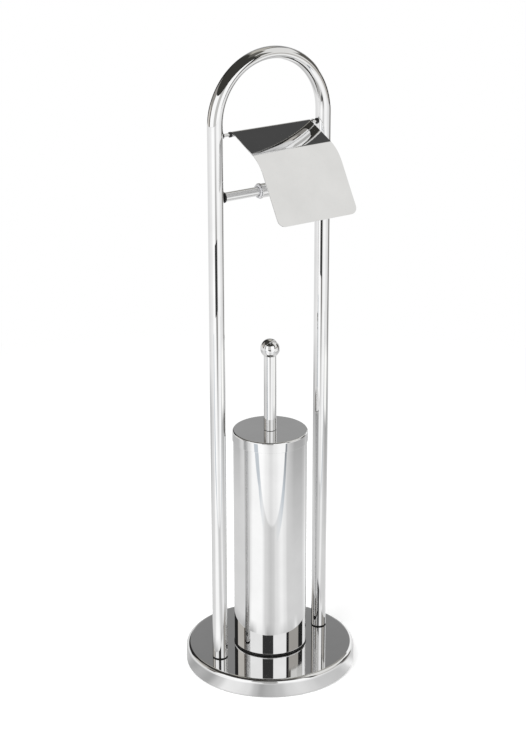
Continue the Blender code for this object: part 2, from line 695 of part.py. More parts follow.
def make_bar_plunger():
    """Left half of the roll bar: buffer, inner tube, and the piston the spring pushes."""
    place = (0, 0, BAR_Z)
    buffer = buffer_profile(BAR_BUFFER_RADIUS, BAR_TUBE_BORE)
    turned("bar_buffer_left", buffer, BLACK_RUBBER, MEDIUM_SEGMENTS, place, AGAINST_X)
    tube = ring_profile(BAR_TUBE_RADIUS, BAR_TUBE_BORE, -BAR_END_X, BAR_TUBE_END_X)
    turned("bar_inner_tube", tube, POLISHED_STEEL, MEDIUM_SEGMENTS, place, ALONG_X)
    piston_end = PISTON_X + BAR_PISTON_THICKNESS
    piston = [
        (0, piston_end),
        (BAR_SLEEVE_BORE - GAP, piston_end),
        (BAR_SLEEVE_BORE - GAP, PISTON_X),
        (BAR_TUBE_BORE - GAP, PISTON_X),
        (BAR_TUBE_BORE - GAP, PISTON_X - BAR_SPIGOT_LENGTH),
        (0, PISTON_X - BAR_SPIGOT_LENGTH),
    ]
    turned("bar_piston", piston, WHITE_PLASTIC, MEDIUM_SEGMENTS, place, ALONG_X)


def make_bar_sleeve():
    """Right half of the roll bar: sleeve, guide bush in its mouth, and buffer."""
    place = (0, 0, BAR_Z)
    sleeve = ring_profile(BAR_SLEEVE_RADIUS, BAR_SLEEVE_BORE, SLEEVE_MOUTH_X, BAR_END_X)
    turned("bar_sleeve", sleeve, POLISHED_STEEL, MEDIUM_SEGMENTS, place, ALONG_X)
    flange_back = SLEEVE_MOUTH_X - GAP
    spigot_end = SLEEVE_MOUTH_X + BAR_BUSH_SPIGOT
    bush_bore = BAR_TUBE_RADIUS + GAP
    bush = [
        (BAR_SLEEVE_BORE - GAP, spigot_end),
        (BAR_SLEEVE_BORE - GAP, flange_back),
        (BAR_BUSH_RADIUS, flange_back),
        (BAR_BUSH_RADIUS, flange_back - BAR_BUSH_FLANGE),
        (bush_bore, flange_back - BAR_BUSH_FLANGE),
        (bush_bore, spigot_end),
    ]
    turned("bar_guide_bush", bush, GREY_PLASTIC, MEDIUM_SEGMENTS, place, ALONG_X)
    buffer = buffer_profile(BAR_SLEEVE_RADIUS, BAR_SLEEVE_BORE)
    turned("bar_buffer_right", buffer, BLACK_RUBBER, MEDIUM_SEGMENTS, place, ALONG_X)


def make_bar_spring():
    """Compression spring between piston and buffer, as one coil of round wire."""
    coil_radius = BAR_SLEEVE_BORE - SPRING_COIL_CLEARANCE - SPRING_WIRE_RADIUS
    start = SPRING_START_X + SPRING_WIRE_RADIUS
    end = SPRING_END_X - SPRING_WIRE_RADIUS
    curls = int((end - start) / SPRING_PITCH)
    count = curls * SPRING_CURL_POINTS + 1
    points = []
    for index in range(count):
        angle = math.tau * index / SPRING_CURL_POINTS
        along = start + (end - start) * index / (count - 1)
        points.append(Vector((coil_radius * math.cos(angle), coil_radius * math.sin(angle), along)))
    curve = bpy.data.curves.new("bar_spring", "CURVE")
    curve.dimensions = "3D"
    curve.bevel_depth = SPRING_WIRE_RADIUS
    curve.bevel_resolution = 1
    curve.use_fill_caps = True
    spline = curve.splines.new("POLY")
    spline.points.add(count - 1)
    for point, place in zip(spline.points, points):
        point.co = (*place, 1)
    add_part("bar_spring", curve, ZINC_STEEL, (0, 0, BAR_Z), ALONG_X)
    print(f"least gap between the spring's curls: {least_coil_gap(points) * 1000:.2f} mm")


def least_coil_gap(points):
    """Return the smallest free gap between curls, from the points half a curl or more apart."""
    apart = SPRING_CURL_POINTS // 2
    gaps = []
    for index, point in enumerate(points):
        for other in points[index + apart:]:
            gaps.append((other - point).length)
    return min(gaps) - 2 * SPRING_WIRE_RADIUS


# Brush holder


def make_holder():
    """Gasket, drawn shell with a floor, and the plastic liner hung in its rim."""
    gasket_bottom = BASE_TOP_Z + GAP
    gasket_radius = HOLDER_RADIUS + HOLDER_GASKET_LIP
    gasket = ring_profile(gasket_radius, gasket_radius - HOLDER_GASKET_WIDTH, gasket_bottom,
                          gasket_bottom + HOLDER_GASKET_THICKNESS)
    turned("holder_gasket", gasket, BLACK_RUBBER, LARGE_SEGMENTS)
    inner = HOLDER_RADIUS - HOLDER_SHEET
    floor_top = HOLDER_BOTTOM_Z + HOLDER_SHEET
    corner = (HOLDER_RADIUS - HOLDER_CORNER_RADIUS, HOLDER_BOTTOM_Z + HOLDER_CORNER_RADIUS)
    shell = [(HOLDER_RADIUS, HOLDER_RIM_Z)]
    shell += arc_points(corner, HOLDER_CORNER_RADIUS, 0, -90, ARC_STEPS)
    shell += [(SCREW_HOLE_RADIUS, HOLDER_BOTTOM_Z), (SCREW_HOLE_RADIUS, floor_top)]
    shell += [(inner, floor_top), (inner, HOLDER_RIM_Z)]
    turned("holder_shell", shell, POLISHED_STEEL, LARGE_SEGMENTS)
    liner = [
        (HOLDER_RADIUS, LINER_TOP_Z),
        (HOLDER_RADIUS, LINER_TOP_Z - LINER_FLANGE_THICKNESS),
        (LINER_RADIUS, LINER_TOP_Z - LINER_FLANGE_THICKNESS),
        (LINER_RADIUS, LINER_BOTTOM_Z),
        (0, LINER_BOTTOM_Z),
    ]
    inside = [(0, LINER_FLOOR_Z), (LINER_BORE_RADIUS, LINER_FLOOR_Z), (LINER_BORE_RADIUS, LINER_TOP_Z)]
    turned("holder_liner", inside + liner, WHITE_PLASTIC, LARGE_SEGMENTS)


def make_holder_fixing():
    """Screw, washers and nut that hold the shell to the base."""
    top = HOLDER_NUT_Z + HOLDER_NUT_HEIGHT
    make_base_screw("holder", "", 0, top)
    washer_bottom = HOLDER_BOTTOM_Z + HOLDER_SHEET + GAP
    washer = ring_profile(WASHER_RADIUS, SCREW_HOLE_RADIUS, washer_bottom, washer_bottom + WASHER_THICKNESS)
    turned("holder_inner_washer", washer, ZINC_STEEL, SMALL_SEGMENTS)
    hex_nut("holder_nut", HOLDER_NUT_RADIUS, SCREW_HOLE_RADIUS, HOLDER_NUT_Z, top)


# Lid, handle and brush


def make_lid():
    """Flat lid with a turned-down skirt, and the plastic insert that centres it in the liner."""
    edge = (LID_RADIUS - LID_EDGE_RADIUS, LID_TOP_Z - LID_EDGE_RADIUS)
    skirt_bottom = LID_TOP_Z - LID_SKIRT_HEIGHT
    under = LID_TOP_Z - LID_SHEET
    profile = [(ROD_HOLE_RADIUS, LID_TOP_Z)]
    profile += arc_points(edge, LID_EDGE_RADIUS, 90, 0, ARC_STEPS)
    profile += [(LID_RADIUS, skirt_bottom), (LID_RADIUS - LID_SHEET, skirt_bottom)]
    profile += arc_points(edge, LID_EDGE_RADIUS - LID_SHEET, 0, 90, ARC_STEPS)
    profile += [(ROD_HOLE_RADIUS, under)]
    turned("lid", profile, POLISHED_STEEL, LARGE_SEGMENTS)
    insert_top = under - GAP
    insert = ring_profile(LINER_BORE_RADIUS - LID_INSERT_CLEARANCE, ROD_HOLE_RADIUS,
                          insert_top - LID_INSERT_THICKNESS, insert_top)
    turned("lid_insert", insert, WHITE_PLASTIC, MEDIUM_SEGMENTS)
    nut_top = insert_top - LID_INSERT_THICKNESS - GAP
    hex_nut("brush_nut", BRUSH_NUT_RADIUS, ROD_HOLE_RADIUS, nut_top - BRUSH_NUT_HEIGHT, nut_top)


def make_handle():
    """Handle tube on the lid, and the ball knob that closes it."""
    tube = ring_profile(HANDLE_RADIUS, HANDLE_RADIUS - HANDLE_WALL, HANDLE_BOTTOM_Z, HANDLE_TOP_Z)
    turned("handle_tube", tube, POLISHED_STEEL, MEDIUM_SEGMENTS)
    neck_radius = HANDLE_RADIUS * KNOB_NECK_SHARE
    neck_z = HANDLE_TOP_Z + GAP
    drop = math.sqrt(KNOB_RADIUS**2 - neck_radius**2)
    centre = (0, neck_z + drop)
    lowest = -math.degrees(math.acos(neck_radius / KNOB_RADIUS))
    spigot = HANDLE_RADIUS - HANDLE_WALL - GAP
    ball = arc_points(centre, KNOB_RADIUS, 90, lowest, KNOB_STEPS)
    ball[0] = (0, centre[1] + KNOB_RADIUS)
    bore_top = neck_z + ROD_IN_KNOB + 2 * GAP
    profile = ball + [
        (spigot, neck_z),
        (spigot, neck_z - KNOB_SPIGOT_LENGTH),
        (ROD_HOLE_RADIUS, neck_z - KNOB_SPIGOT_LENGTH),
        (ROD_HOLE_RADIUS, bore_top),
        (0, bore_top),
    ]
    turned("knob", profile, POLISHED_STEEL, MEDIUM_SEGMENTS)


def make_brush_rod():
    """Rod from the knob through handle and lid into the brush core."""
    profile = disc_profile(ROD_RADIUS, CORE_TOP_Z - ROD_IN_CORE, HANDLE_TOP_Z + GAP + ROD_IN_KNOB)
    turned("brush_rod", profile, ZINC_STEEL, SMALL_SEGMENTS)


def make_brush_core():
    """Plastic stem with a splash collar, and a socket for the rod."""
    collar_bottom = CORE_TOP_Z - CORE_NECK_LENGTH
    stem_top = collar_bottom - CORE_COLLAR_THICKNESS
    socket_floor = CORE_TOP_Z - ROD_IN_CORE - GAP
    tip = (0, CORE_BOTTOM_Z + CORE_STEM_RADIUS)
    profile = [
        (ROD_HOLE_RADIUS, CORE_TOP_Z),
        (CORE_NECK_RADIUS, CORE_TOP_Z),
        (CORE_NECK_RADIUS, collar_bottom),
        (CORE_COLLAR_RADIUS, collar_bottom),
        (CORE_COLLAR_RADIUS, stem_top),
        (CORE_STEM_RADIUS, stem_top),
    ]
    profile += arc_points(tip, CORE_STEM_RADIUS, 0, -90, ARC_STEPS)
    profile[-1] = (0, CORE_BOTTOM_Z)
    socket = [(0, socket_floor), (ROD_HOLE_RADIUS, socket_floor)]
    turned("brush_core", socket + profile, WHITE_PLASTIC, SMALL_SEGMENTS)


def make_brush_bristles():
    """Bristle sleeve on the core: a strand grows from each cell of its outer wall."""
    top = CORE_TOP_Z - CORE_NECK_LENGTH - CORE_COLLAR_THICKNESS - GAP
    bottom = CORE_BOTTOM_Z + CORE_STEM_RADIUS
    rings = [sleeve_ring(BRISTLE_ROOT_RADIUS, bottom + (top - bottom) * row / BRISTLE_ROWS)
             for row in range(BRISTLE_ROWS + 1)]
    rings += [sleeve_ring(CORE_STEM_RADIUS + GAP, top), sleeve_ring(CORE_STEM_RADIUS + GAP, bottom)]
    mesh = loft_rings(rings, True)
    edit = bmesh.new()
    edit.from_mesh(mesh)
    middle = (top + bottom) / 2
    half = (top - bottom) / 2
    outer = [face for face in edit.faces if is_outer_cell(face)]
    cells = bmesh.ops.triangulate(edit, faces=outer)["faces"]
    lower = [face for face in cells if is_lower_half(face)]
    roots = bmesh.ops.extrude_discrete_faces(edit, faces=lower)["faces"]
    for root in roots:
        centre = root.calc_center_median()
        level = (centre.z - middle) / half
        reach = BRISTLE_TIP_RADIUS * (1 - BRISTLE_BARREL_SHARE * level**2) - BRISTLE_ROOT_RADIUS
        outward = Vector((centre.x, centre.y, 0)).normalized()
        lean = Vector((0, 0, math.tan(BRISTLE_FAN) * min(level, 0)))
        step = (outward + lean) * reach
        for vert in root.verts:
            vert.co = centre + (vert.co - centre) * BRISTLE_THICKNESS_SHARE + step
    bmesh.ops.recalc_face_normals(edit, faces=edit.faces)
    edit.to_mesh(mesh)
    edit.free()
    add_part("brush_bristles", mesh, WHITE_BRISTLE)


def sleeve_ring(radius, z):
    """Return one ring of the bristle sleeve."""
    angles = [math.tau * column / BRISTLE_COLUMNS for column in range(BRISTLE_COLUMNS)]
    return [Vector((radius * math.cos(angle), radius * math.sin(angle), z)) for angle in angles]


def is_outer_cell(face):
    """Tell whether a face lies in the sleeve's outer wall."""
    reach = min(Vector((vert.co.x, vert.co.y)).length for vert in face.verts)
    return reach > (BRISTLE_ROOT_RADIUS + CORE_STEM_RADIUS) / 2


def is_lower_half(face):
    """Tell whether a triangle is the half of its cell with two corners on the lower ring."""
    heights = sorted(vert.co.z for vert in face.verts)
    return heights[1] - heights[0] < heights[2] - heights[1]


def main():
    """Model every part of the stand."""
    recesses = make_screw_recesses()
    make_base_cover(recesses)
    make_base_weight(recesses)
    make_base_plate(recesses)
    make_foot_pads()
    make_frame_tube()
    make_leg_fittings()
    make_hinge_rod()
    make_hinge_bushes()
    make_stop_collars()
    make_roll_cover()
    make_bar_plunger()
    make_bar_sleeve()
    make_bar_spring()
    make_holder()
    make_holder_fixing()
    make_lid()
    make_handle()
    make_brush_rod()
    make_brush_core()
    make_brush_bristles()


main()
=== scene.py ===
"""Looks of the toilet butler stand, laid over the frame its CAD was packed into.

Every size is in metres and every piece stays where its CAD node is. Turned pieces are revolved
from a profile, the bent tube, coils and bristles grow from Geometry Nodes trees, and each piece
rides on the body that its node rides on.
"""

import logging
import math
from collections.abc import Iterator
from contextlib import contextmanager
from dataclasses import dataclass
from enum import Enum, IntEnum
from typing import Any

import bmesh
import bpy
from mathutils import Euler, Matrix, Vector


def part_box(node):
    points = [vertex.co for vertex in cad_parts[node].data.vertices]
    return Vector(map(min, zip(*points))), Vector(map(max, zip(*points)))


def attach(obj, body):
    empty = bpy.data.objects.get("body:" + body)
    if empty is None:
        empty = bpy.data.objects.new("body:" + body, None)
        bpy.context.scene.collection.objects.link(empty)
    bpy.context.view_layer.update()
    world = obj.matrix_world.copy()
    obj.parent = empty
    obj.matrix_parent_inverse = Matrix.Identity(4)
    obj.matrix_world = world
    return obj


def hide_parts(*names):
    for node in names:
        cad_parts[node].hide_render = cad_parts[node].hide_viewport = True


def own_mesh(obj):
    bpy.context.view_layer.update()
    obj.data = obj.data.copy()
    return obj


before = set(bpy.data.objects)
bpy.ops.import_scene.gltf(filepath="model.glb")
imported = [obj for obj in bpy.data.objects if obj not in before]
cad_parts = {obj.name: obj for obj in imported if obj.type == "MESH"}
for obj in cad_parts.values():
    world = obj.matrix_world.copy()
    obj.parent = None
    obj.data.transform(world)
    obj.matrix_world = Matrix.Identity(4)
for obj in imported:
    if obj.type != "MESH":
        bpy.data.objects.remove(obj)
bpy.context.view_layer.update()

log = logging.getLogger("toilet_butler_stand")

Corner = tuple[float, ...]
Point = tuple[float, float]
Stops = tuple[Point, ...]
Colour = tuple[float, float, float]
Place = Vector | tuple[float, float, float]
Socket = bpy.types.NodeSocket
Number = float | Socket

SUPPORT_DISTANCE = 0.00015
LONG_SEGMENT = 0.0016
FILLET_STEP = math.radians(15)
MERGE_DISTANCE = 0.000002
SHARP_ANGLE = math.radians(32)
BLUNT_ANGLE = math.radians(60)
CUT_OVERRUN = 0.0010
GAP = 0.0003
CLEAR_BORE = 0.0033
KEEN_EDGE = 0.0001
FINE_EDGE = 0.0002
EDGE = 0.0003
SOFT_EDGE = 0.0004
ROUND_EDGE = 0.0005
SIDES = {"left": -1, "right": 1}
UP = (0, 0, 1)
RIGHT = (1, 0, 0)


# Sizes that the frame gives


def lowest(node: str, axis: str = "z") -> float:
    """Return a CAD node's smallest coordinate on an axis."""
    return getattr(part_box(node)[0], axis)


def highest(node: str, axis: str = "z") -> float:
    """Return a CAD node's largest coordinate on an axis."""
    return getattr(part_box(node)[1], axis)


def middle(node: str, axis: str = "z") -> float:
    """Return the middle of a CAD node on an axis."""
    return (lowest(node, axis) + highest(node, axis)) / 2


def half(node: str, axis: str = "y") -> float:
    """Return half of a CAD node's extent on an axis, the radius of a round one."""
    return (highest(node, axis) - lowest(node, axis)) / 2


LEG_X = middle("leg_gasket_right", "x")
LEG_FACE = 2 * LEG_X - highest("frame_tube", "x")


# Nodes


class NodeSketch:
    """Shorthand for adding and joining the nodes of one tree."""

    def __init__(self, tree: bpy.types.NodeTree) -> None:
        """Take the tree that the nodes go into.

        Args:
            tree: shader, world or geometry node tree.
        """
        self.tree = tree

    def feed(self, node: bpy.types.Node, key: str | int, value: Any) -> None:
        """Join a socket to a node's input, or set the input to a plain value.

        Args:
            node: node that takes the value.
            key: name or number of its input.
            value: value or socket.
        """
        if isinstance(value, Socket):
            self.tree.links.new(value, node.inputs[key])
        else:
            node.inputs[key].default_value = value

    def add(self, kind: str, inputs: dict[Any, Any] | None = None, **settings: Any) -> bpy.types.Node:
        """Add a node, set its settings and feed its inputs.

        Args:
            kind: Blender's name of the node type.
            inputs: values or sockets by input name or number.
            settings: the node's own settings.

        Returns:
            The new node.
        """
        node = self.tree.nodes.new(kind)
        for key, value in settings.items():
            setattr(node, key, value)
        for key, value in (inputs or {}).items():
            self.feed(node, key, value)
        return node

    def calc(self, operation: str, *values: Number, clamp: bool = False) -> Socket:
        """Add a Math node.

        Args:
            operation: Blender's name of the operation.
            values: its operands, numbers or sockets.
            clamp: whether the result is held between 0 and 1.

        Returns:
            The result's socket.
        """
        inputs = dict(enumerate(values))
        return self.add("ShaderNodeMath", inputs, operation=operation, use_clamp=clamp).outputs[0]

    def times(self, first: Number, second: Number) -> Socket:
        """Multiply two numbers."""
        return self.calc("MULTIPLY", first, second)

    def vector(self, operation: str, first: Any, second: Any = None) -> Socket:
        """Add a Vector Math node.

        Args:
            operation: Blender's name of the operation.
            first: first operand.
            second: second operand, a number for a scaling.

        Returns:
            The result's socket, a number for a dot product or length.
        """
        inputs = {0: first}
        if second is not None:
            inputs["Scale" if operation == "SCALE" else 1] = second
        node = self.add("ShaderNodeVectorMath", inputs, operation=operation)
        return node.outputs["Value" if operation in {"DOT_PRODUCT", "LENGTH"} else "Vector"]

    def combine(self, x: Number = 0.0, y: Number = 0.0, z: Number = 0.0) -> Socket:
        """Make a vector of three numbers."""
        return self.add("ShaderNodeCombineXYZ", {0: x, 1: y, 2: z}).outputs[0]

    def split(self, vector: Socket, axis: int) -> Socket:
        """Return a vector's number on axis 0, 1 or 2."""
        return self.add("ShaderNodeSeparateXYZ", {0: vector}).outputs[axis]

    def ramp(self, value: Socket, low: Number, high: Number, start: Any = 0.0, end: Any = 1.0) -> Socket:
        """Add a clamped Map Range node.

        Args:
            value: what is mapped.
            low: value that gives start.
            high: value that gives end.
            start: result at and before low.
            end: result at and beyond high.

        Returns:
            The mapped socket.
        """
        return self.add("ShaderNodeMapRange", {0: value, 1: low, 2: high, 3: start, 4: end}).outputs[0]

    def between(self, value: Socket, low: float, high: float, edge: float) -> Socket:
        """Test whether a value lies between two limits, with soft edges.

        Args:
            value: what is tested.
            low: lower limit.
            high: upper limit.
            edge: width of the soft edges.

        Returns:
            A socket, 1 inside and 0 outside.
        """
        above = self.ramp(value, low - edge / 2, low + edge / 2)
        below = self.ramp(value, high - edge / 2, high + edge / 2, 1.0, 0.0)
        return self.times(above, below)

    def profile(self, value: Socket, stops: Stops) -> Socket:
        """Read a level off a smooth line through stops.

        Args:
            value: what is looked up.
            stops: (value, level) pairs in rising order.

        Returns:
            The level's socket.
        """
        low, high = stops[0][0], stops[-1][0]
        peak = max(level for _, level in stops)
        node = self.add("ShaderNodeValToRGB", {0: self.ramp(value, low, high)})
        line = node.color_ramp
        line.interpolation = "EASE"
        for index, (place, level) in enumerate(stops):
            share = (place - low) / (high - low)
            element = line.elements[0] if index == 0 else line.elements.new(share)
            element.position, element.color = share, (level / peak, level / peak, level / peak, 1.0)
        line.elements.remove(line.elements[-1])
        return self.times(node.outputs[0], peak)

    def noise(self, place: Socket, scale: float, detail: float = 3.0, roughness: float = 0.5) -> Socket:
        """Add a noise texture.

        Args:
            place: coordinates it reads.
            scale: cells per metre.
            detail: octaves.
            roughness: weight of the fine octaves.

        Returns:
            Its value, about 0.5 on average.
        """
        inputs = {"Vector": place, "Scale": scale, "Detail": detail, "Roughness": roughness}
        return self.add("ShaderNodeTexNoise", inputs).outputs[0]

    def blend(self, factor: Number, first: Colour | Socket, second: Colour | Socket) -> Socket:
        """Mix two colours.

        Args:
            factor: share of the second.
            first: colour at factor 0.
            second: colour at factor 1.

        Returns:
            The mixed colour.
        """
        first, second = (tone if isinstance(tone, Socket) else (*tone, 1.0) for tone in (first, second))
        return self.add("ShaderNodeMix", {0: factor, 6: first, 7: second}, data_type="RGBA").outputs[2]

    def glow(self, tone: Socket | Corner) -> Socket:
        """Add an emission shader of a tone."""
        return self.add("ShaderNodeEmission", {"Color": tone}).outputs[0]

    def mix(self, factor: Number, first: Socket, second: Socket) -> Socket:
        """Mix two shaders, the second by its factor."""
        return self.add("ShaderNodeMixShader", {0: factor, 1: first, 2: second}).outputs[0]


# Finishes


class Slot(Enum):
    """The packed record's material slots."""

    STEEL = "polished_steel"
    ZINC = "zinc_steel"
    IRON = "cast_iron"
    RUBBER = "black_rubber"
    BLACK = "black_plastic"
    GREY = "grey_plastic"
    WHITE = "white_plastic"
    BRISTLE = "white_bristle"


class Coat(NodeSketch):
    """The nodes of one surface finish, round its Principled shader."""

    def __init__(self, material: bpy.types.Material) -> None:
        """Take the material that the nodes go into.

        Args:
            material: a new node material.
        """
        super().__init__(material.node_tree)
        self.shader = self.tree.nodes["Principled BSDF"]
        self.place = self.add("ShaderNodeTexCoord").outputs["Object"]

    def grain(self, scale: float, detail: float, roughness: float = 0.5) -> Socket:
        """Return noise over the piece's own coordinates."""
        return self.noise(self.place, scale, detail, roughness)

    def skin(self, tone: Socket, rough: Socket, metallic: Number = 0.0) -> None:
        """Feed the shader its colour, roughness and share of metal."""
        for key, value in (("Base Color", tone), ("Roughness", rough), ("Metallic", metallic)):
            self.feed(self.shader, key, value)

    def relief(self, height: Socket, depth: float, strength: float = 1.0,
               under: Socket | None = None) -> Socket:
        """Add a bump and put it on the shader.

        Args:
            height: height of the relief, 0 to 1.
            depth: metres between 0 and 1.
            strength: share of the bump that shows.
            under: normal of a coarser relief below.

        Returns:
            The bent normal.
        """
        inputs: dict[str, Any] = {"Strength": strength, "Distance": depth, "Height": height}
        if under is not None:
            inputs["Normal"] = under
        normal = self.add("ShaderNodeBump", inputs).outputs[0]
        self.feed(self.shader, "Normal", normal)
        return normal


@dataclass(frozen=True)
class Finish:
    """One surface finish, from which every piece of it takes the same node material."""

    name: str
    slot: Slot
    colour: Colour
    roughness: float

    def material(self) -> bpy.types.Material:
        """Build the node material, or return it where it was built before.

        Returns:
            The finish's material.
        """
        made = bpy.data.materials.get(self.name)
        if not made:
            made = bpy.data.materials.new(self.name)
            made.use_nodes = True
            made.diffuse_color = (*self.colour, 1.0)
            self.dress(Coat(made))
        return made

    def toned(self, red: float, green: float, blue: float) -> Colour:
        """Return the finish's colour with each channel taken down by a factor."""
        return (self.colour[0] * red, self.colour[1] * green, self.colour[2] * blue)

    def dress(self, coat: Coat) -> None:
        """Join the finish's textures to the shader.

        Args:
            coat: the material's nodes.
        """
        raise NotImplementedError


@dataclass(frozen=True)
class PolishedSteel(Finish):
    """Mirror-polished stainless steel with faint wiping marks and a few hairline scratches."""

    grain: tuple[float, float, float] = (1.0, 1.0, 0.02)
    scratch_depth: float = 0.0000012
    smudge: float = 0.035
    waviness: float = 0.0000030

    def dress(self, coat: Coat) -> None:
        """Join wiping marks, hairlines and a slight waviness to the shader.

        Args:
            coat: the material's nodes.
        """
        drawn = coat.add("ShaderNodeMapping", {"Vector": coat.place, "Scale": self.grain}).outputs[0]
        hairlines = coat.noise(drawn, 2600.0, 2.0)
        wiped = coat.grain(26.0, 4.0, 0.6)
        worn = coat.times(coat.ramp(wiped, 0.42, 0.72), coat.ramp(hairlines, 0.45, 0.75))
        rough = coat.calc("MULTIPLY_ADD", worn, self.smudge, self.roughness)
        tone = coat.blend(coat.ramp(wiped, 0.35, 0.8), self.colour, self.toned(0.93, 0.93, 0.93))
        coat.skin(tone, rough, 1.0)
        waves = coat.relief(coat.grain(40.0, 1.0), self.waviness)
        coat.relief(hairlines, self.scratch_depth, 0.35, waves)


@dataclass(frozen=True)
class ZincPlate(Finish):
    """Zinc-plated steel, cloudy and a little rough from handling."""

    def dress(self, coat: Coat) -> None:
        """Join cloudy plating and tool marks to the shader.

        Args:
            coat: the material's nodes.
        """
        clouds = coat.grain(320.0, 5.0, 0.6)
        tone = coat.blend(coat.ramp(clouds, 0.4, 0.75), self.colour, self.toned(0.72, 0.70, 0.64))
        coat.skin(tone, coat.calc("MULTIPLY_ADD", clouds, 0.22, self.roughness), 1.0)
        coat.relief(coat.grain(2400.0, 2.0), 0.00002, 0.5)


@dataclass(frozen=True)
class CastIron(Finish):
    """Raw grey casting with a sandy skin and rusty specks."""

    rust: Colour = (0.16, 0.075, 0.035)

    def dress(self, coat: Coat) -> None:
        """Join the sandy skin and rust to the shader.

        Args:
            coat: the material's nodes.
        """
        sand = coat.grain(900.0, 5.0, 0.65)
        specks = coat.ramp(coat.grain(60.0, 4.0, 0.6), 0.58, 0.72)
        rough = coat.calc("MULTIPLY_ADD", sand, 0.3, self.roughness)
        coat.skin(coat.blend(specks, self.colour, self.rust), rough, coat.ramp(specks, 0.0, 1.0, 0.85, 0.1))
        coat.relief(sand, 0.00025, 0.8)


@dataclass(frozen=True)
class Rubber(Finish):
    """Moulded rubber with a fine matt grain and a little dust."""

    def dress(self, coat: Coat) -> None:
        """Join grain and dust to the shader.

        Args:
            coat: the material's nodes.
        """
        dust = coat.ramp(coat.grain(180.0, 4.0, 0.7), 0.5, 0.8)
        dusty = tuple(channel + 0.05 for channel in self.colour)
        rough = coat.calc("MULTIPLY_ADD", dust, 0.15, self.roughness)
        coat.skin(coat.blend(dust, self.colour, dusty), rough)
        coat.feed(coat.shader, "Specular IOR Level", 0.35)
        coat.relief(coat.grain(3200.0, 3.0), 0.00003, 0.6)


@dataclass(frozen=True)
class MouldedPlastic(Finish):
    """Injection-moulded plastic with a satin skin, faint flow marks and scuffs."""

    def dress(self, coat: Coat) -> None:
        """Join flow marks, skin and scuffs to the shader.

        Args:
            coat: the material's nodes.
        """
        tone = coat.blend(coat.grain(30.0, 2.0), self.colour, self.toned(0.93, 0.93, 0.93))
        scuffs = coat.ramp(coat.grain(240.0, 5.0, 0.7), 0.55, 0.8)
        coat.skin(tone, coat.calc("MULTIPLY_ADD", scuffs, 0.2, self.roughness))
        coat.relief(coat.grain(4200.0, 2.0), 0.00001, 0.5)


@dataclass(frozen=True)
class NylonBristle(Finish):
    """White nylon filaments, slightly see-through and uneven in tone."""

    def dress(self, coat: Coat) -> None:
        """Join strand tone and a fine skin to the shader.

        Args:
            coat: the material's nodes.
        """
        strands = coat.grain(700.0, 2.0)
        tone = coat.blend(strands, self.colour, self.toned(0.93, 0.90, 0.82))
        coat.skin(tone, coat.calc("MULTIPLY_ADD", strands, 0.2, self.roughness))
        coat.feed(coat.shader, "Transmission Weight", 0.12)
        coat.relief(strands, 0.00002, 0.4)


STEEL_TONE = (0.80, 0.80, 0.80)
DRAWN_ALONG_X = (0.02, 1.0, 1.0)
TURNED_STEEL = PolishedSteel("polished_steel_turned", Slot.STEEL, STEEL_TONE, 0.020)
SHEET_STEEL = PolishedSteel("polished_steel_sheet", Slot.STEEL, STEEL_TONE, 0.030, DRAWN_ALONG_X)
BAR_STEEL = PolishedSteel("polished_steel_bar", Slot.STEEL, STEEL_TONE, 0.030, DRAWN_ALONG_X, 0.0000002)
ZINC = ZincPlate("zinc_plate", Slot.ZINC, (0.62, 0.62, 0.64), 0.22)
IRON = CastIron("cast_iron_raw", Slot.IRON, (0.10, 0.10, 0.11), 0.55)
BLACK_RUBBER = Rubber("black_rubber_matt", Slot.RUBBER, (0.012, 0.012, 0.012), 0.68)
BLACK_PLASTIC = MouldedPlastic("black_plastic_satin", Slot.BLACK, (0.012, 0.012, 0.012), 0.34)
GREY_PLASTIC = MouldedPlastic("grey_plastic_satin", Slot.GREY, (0.74, 0.74, 0.76), 0.36)
WHITE_PLASTIC = MouldedPlastic("white_plastic_satin", Slot.WHITE, (0.82, 0.82, 0.82), 0.38)
NYLON = NylonBristle("white_nylon_bristle", Slot.BRISTLE, (0.86, 0.86, 0.83), 0.42)


# Shapes


class Facets(IntEnum):
    """Facets round a turned piece, the more the wider it is."""

    BOLT = 48
    ROD = 64
    SEAL = 96
    BAR = 128
    RING = 192
    DRUM = 256


def spot(centre: Point, radius: float, angle: float) -> Point:
    """Return the point of a circle at an angle in degrees."""
    turn = math.radians(angle)
    return (centre[0] + radius * math.cos(turn), centre[1] + radius * math.sin(turn))


def arc(centre: Point, radius: float, start: float, end: float, steps: int) -> list[Point]:
    """Return points on an arc, both ends included.

    Args:
        centre: centre of the arc.
        radius: its radius.
        start: first angle in degrees.
        end: last angle in degrees.
        steps: number of chords.

    Returns:
        Points from start to end.
    """
    return [spot(centre, radius, start + (end - start) * step / steps) for step in range(steps + 1)]


def hexagon(radius: float) -> list[Point]:
    """Return a hexagon's corners at a radius."""
    return arc((0, 0), radius, 0, 300, 5)


def rod(radius: float, low: float, high: float, edge: float = 0.0) -> list[Corner]:
    """Return the profile of a solid rod with rounded edges."""
    return [(0, high), (radius, high, edge), (radius, low, edge), (0, low)]


def pipe(outer: float, bore: float, low: float, high: float, edge: float, inner: float = 0.0) -> list[Corner]:
    """Return the profile of a pipe, its outer and inner edges rounded."""
    return [(outer, high, edge), (outer, low, edge), (bore, low, inner), (bore, high, inner)]


def groove(ring: float, mouth: float, floor: float, face: float, depth: float, edge: float) -> list[Corner]:
    """Return the profile rows of a round groove in a lower face.

    Args:
        ring: radius of its middle.
        mouth: half its width at the face.
        floor: half its width at its floor.
        face: height of the face.
        depth: its depth.
        edge: rounding of its mouth.

    Returns:
        Rows from the outside in.
    """
    return [(ring + mouth, face, edge), (ring + floor, face + depth), (ring - floor, face + depth),
            (ring - mouth, face, edge)]


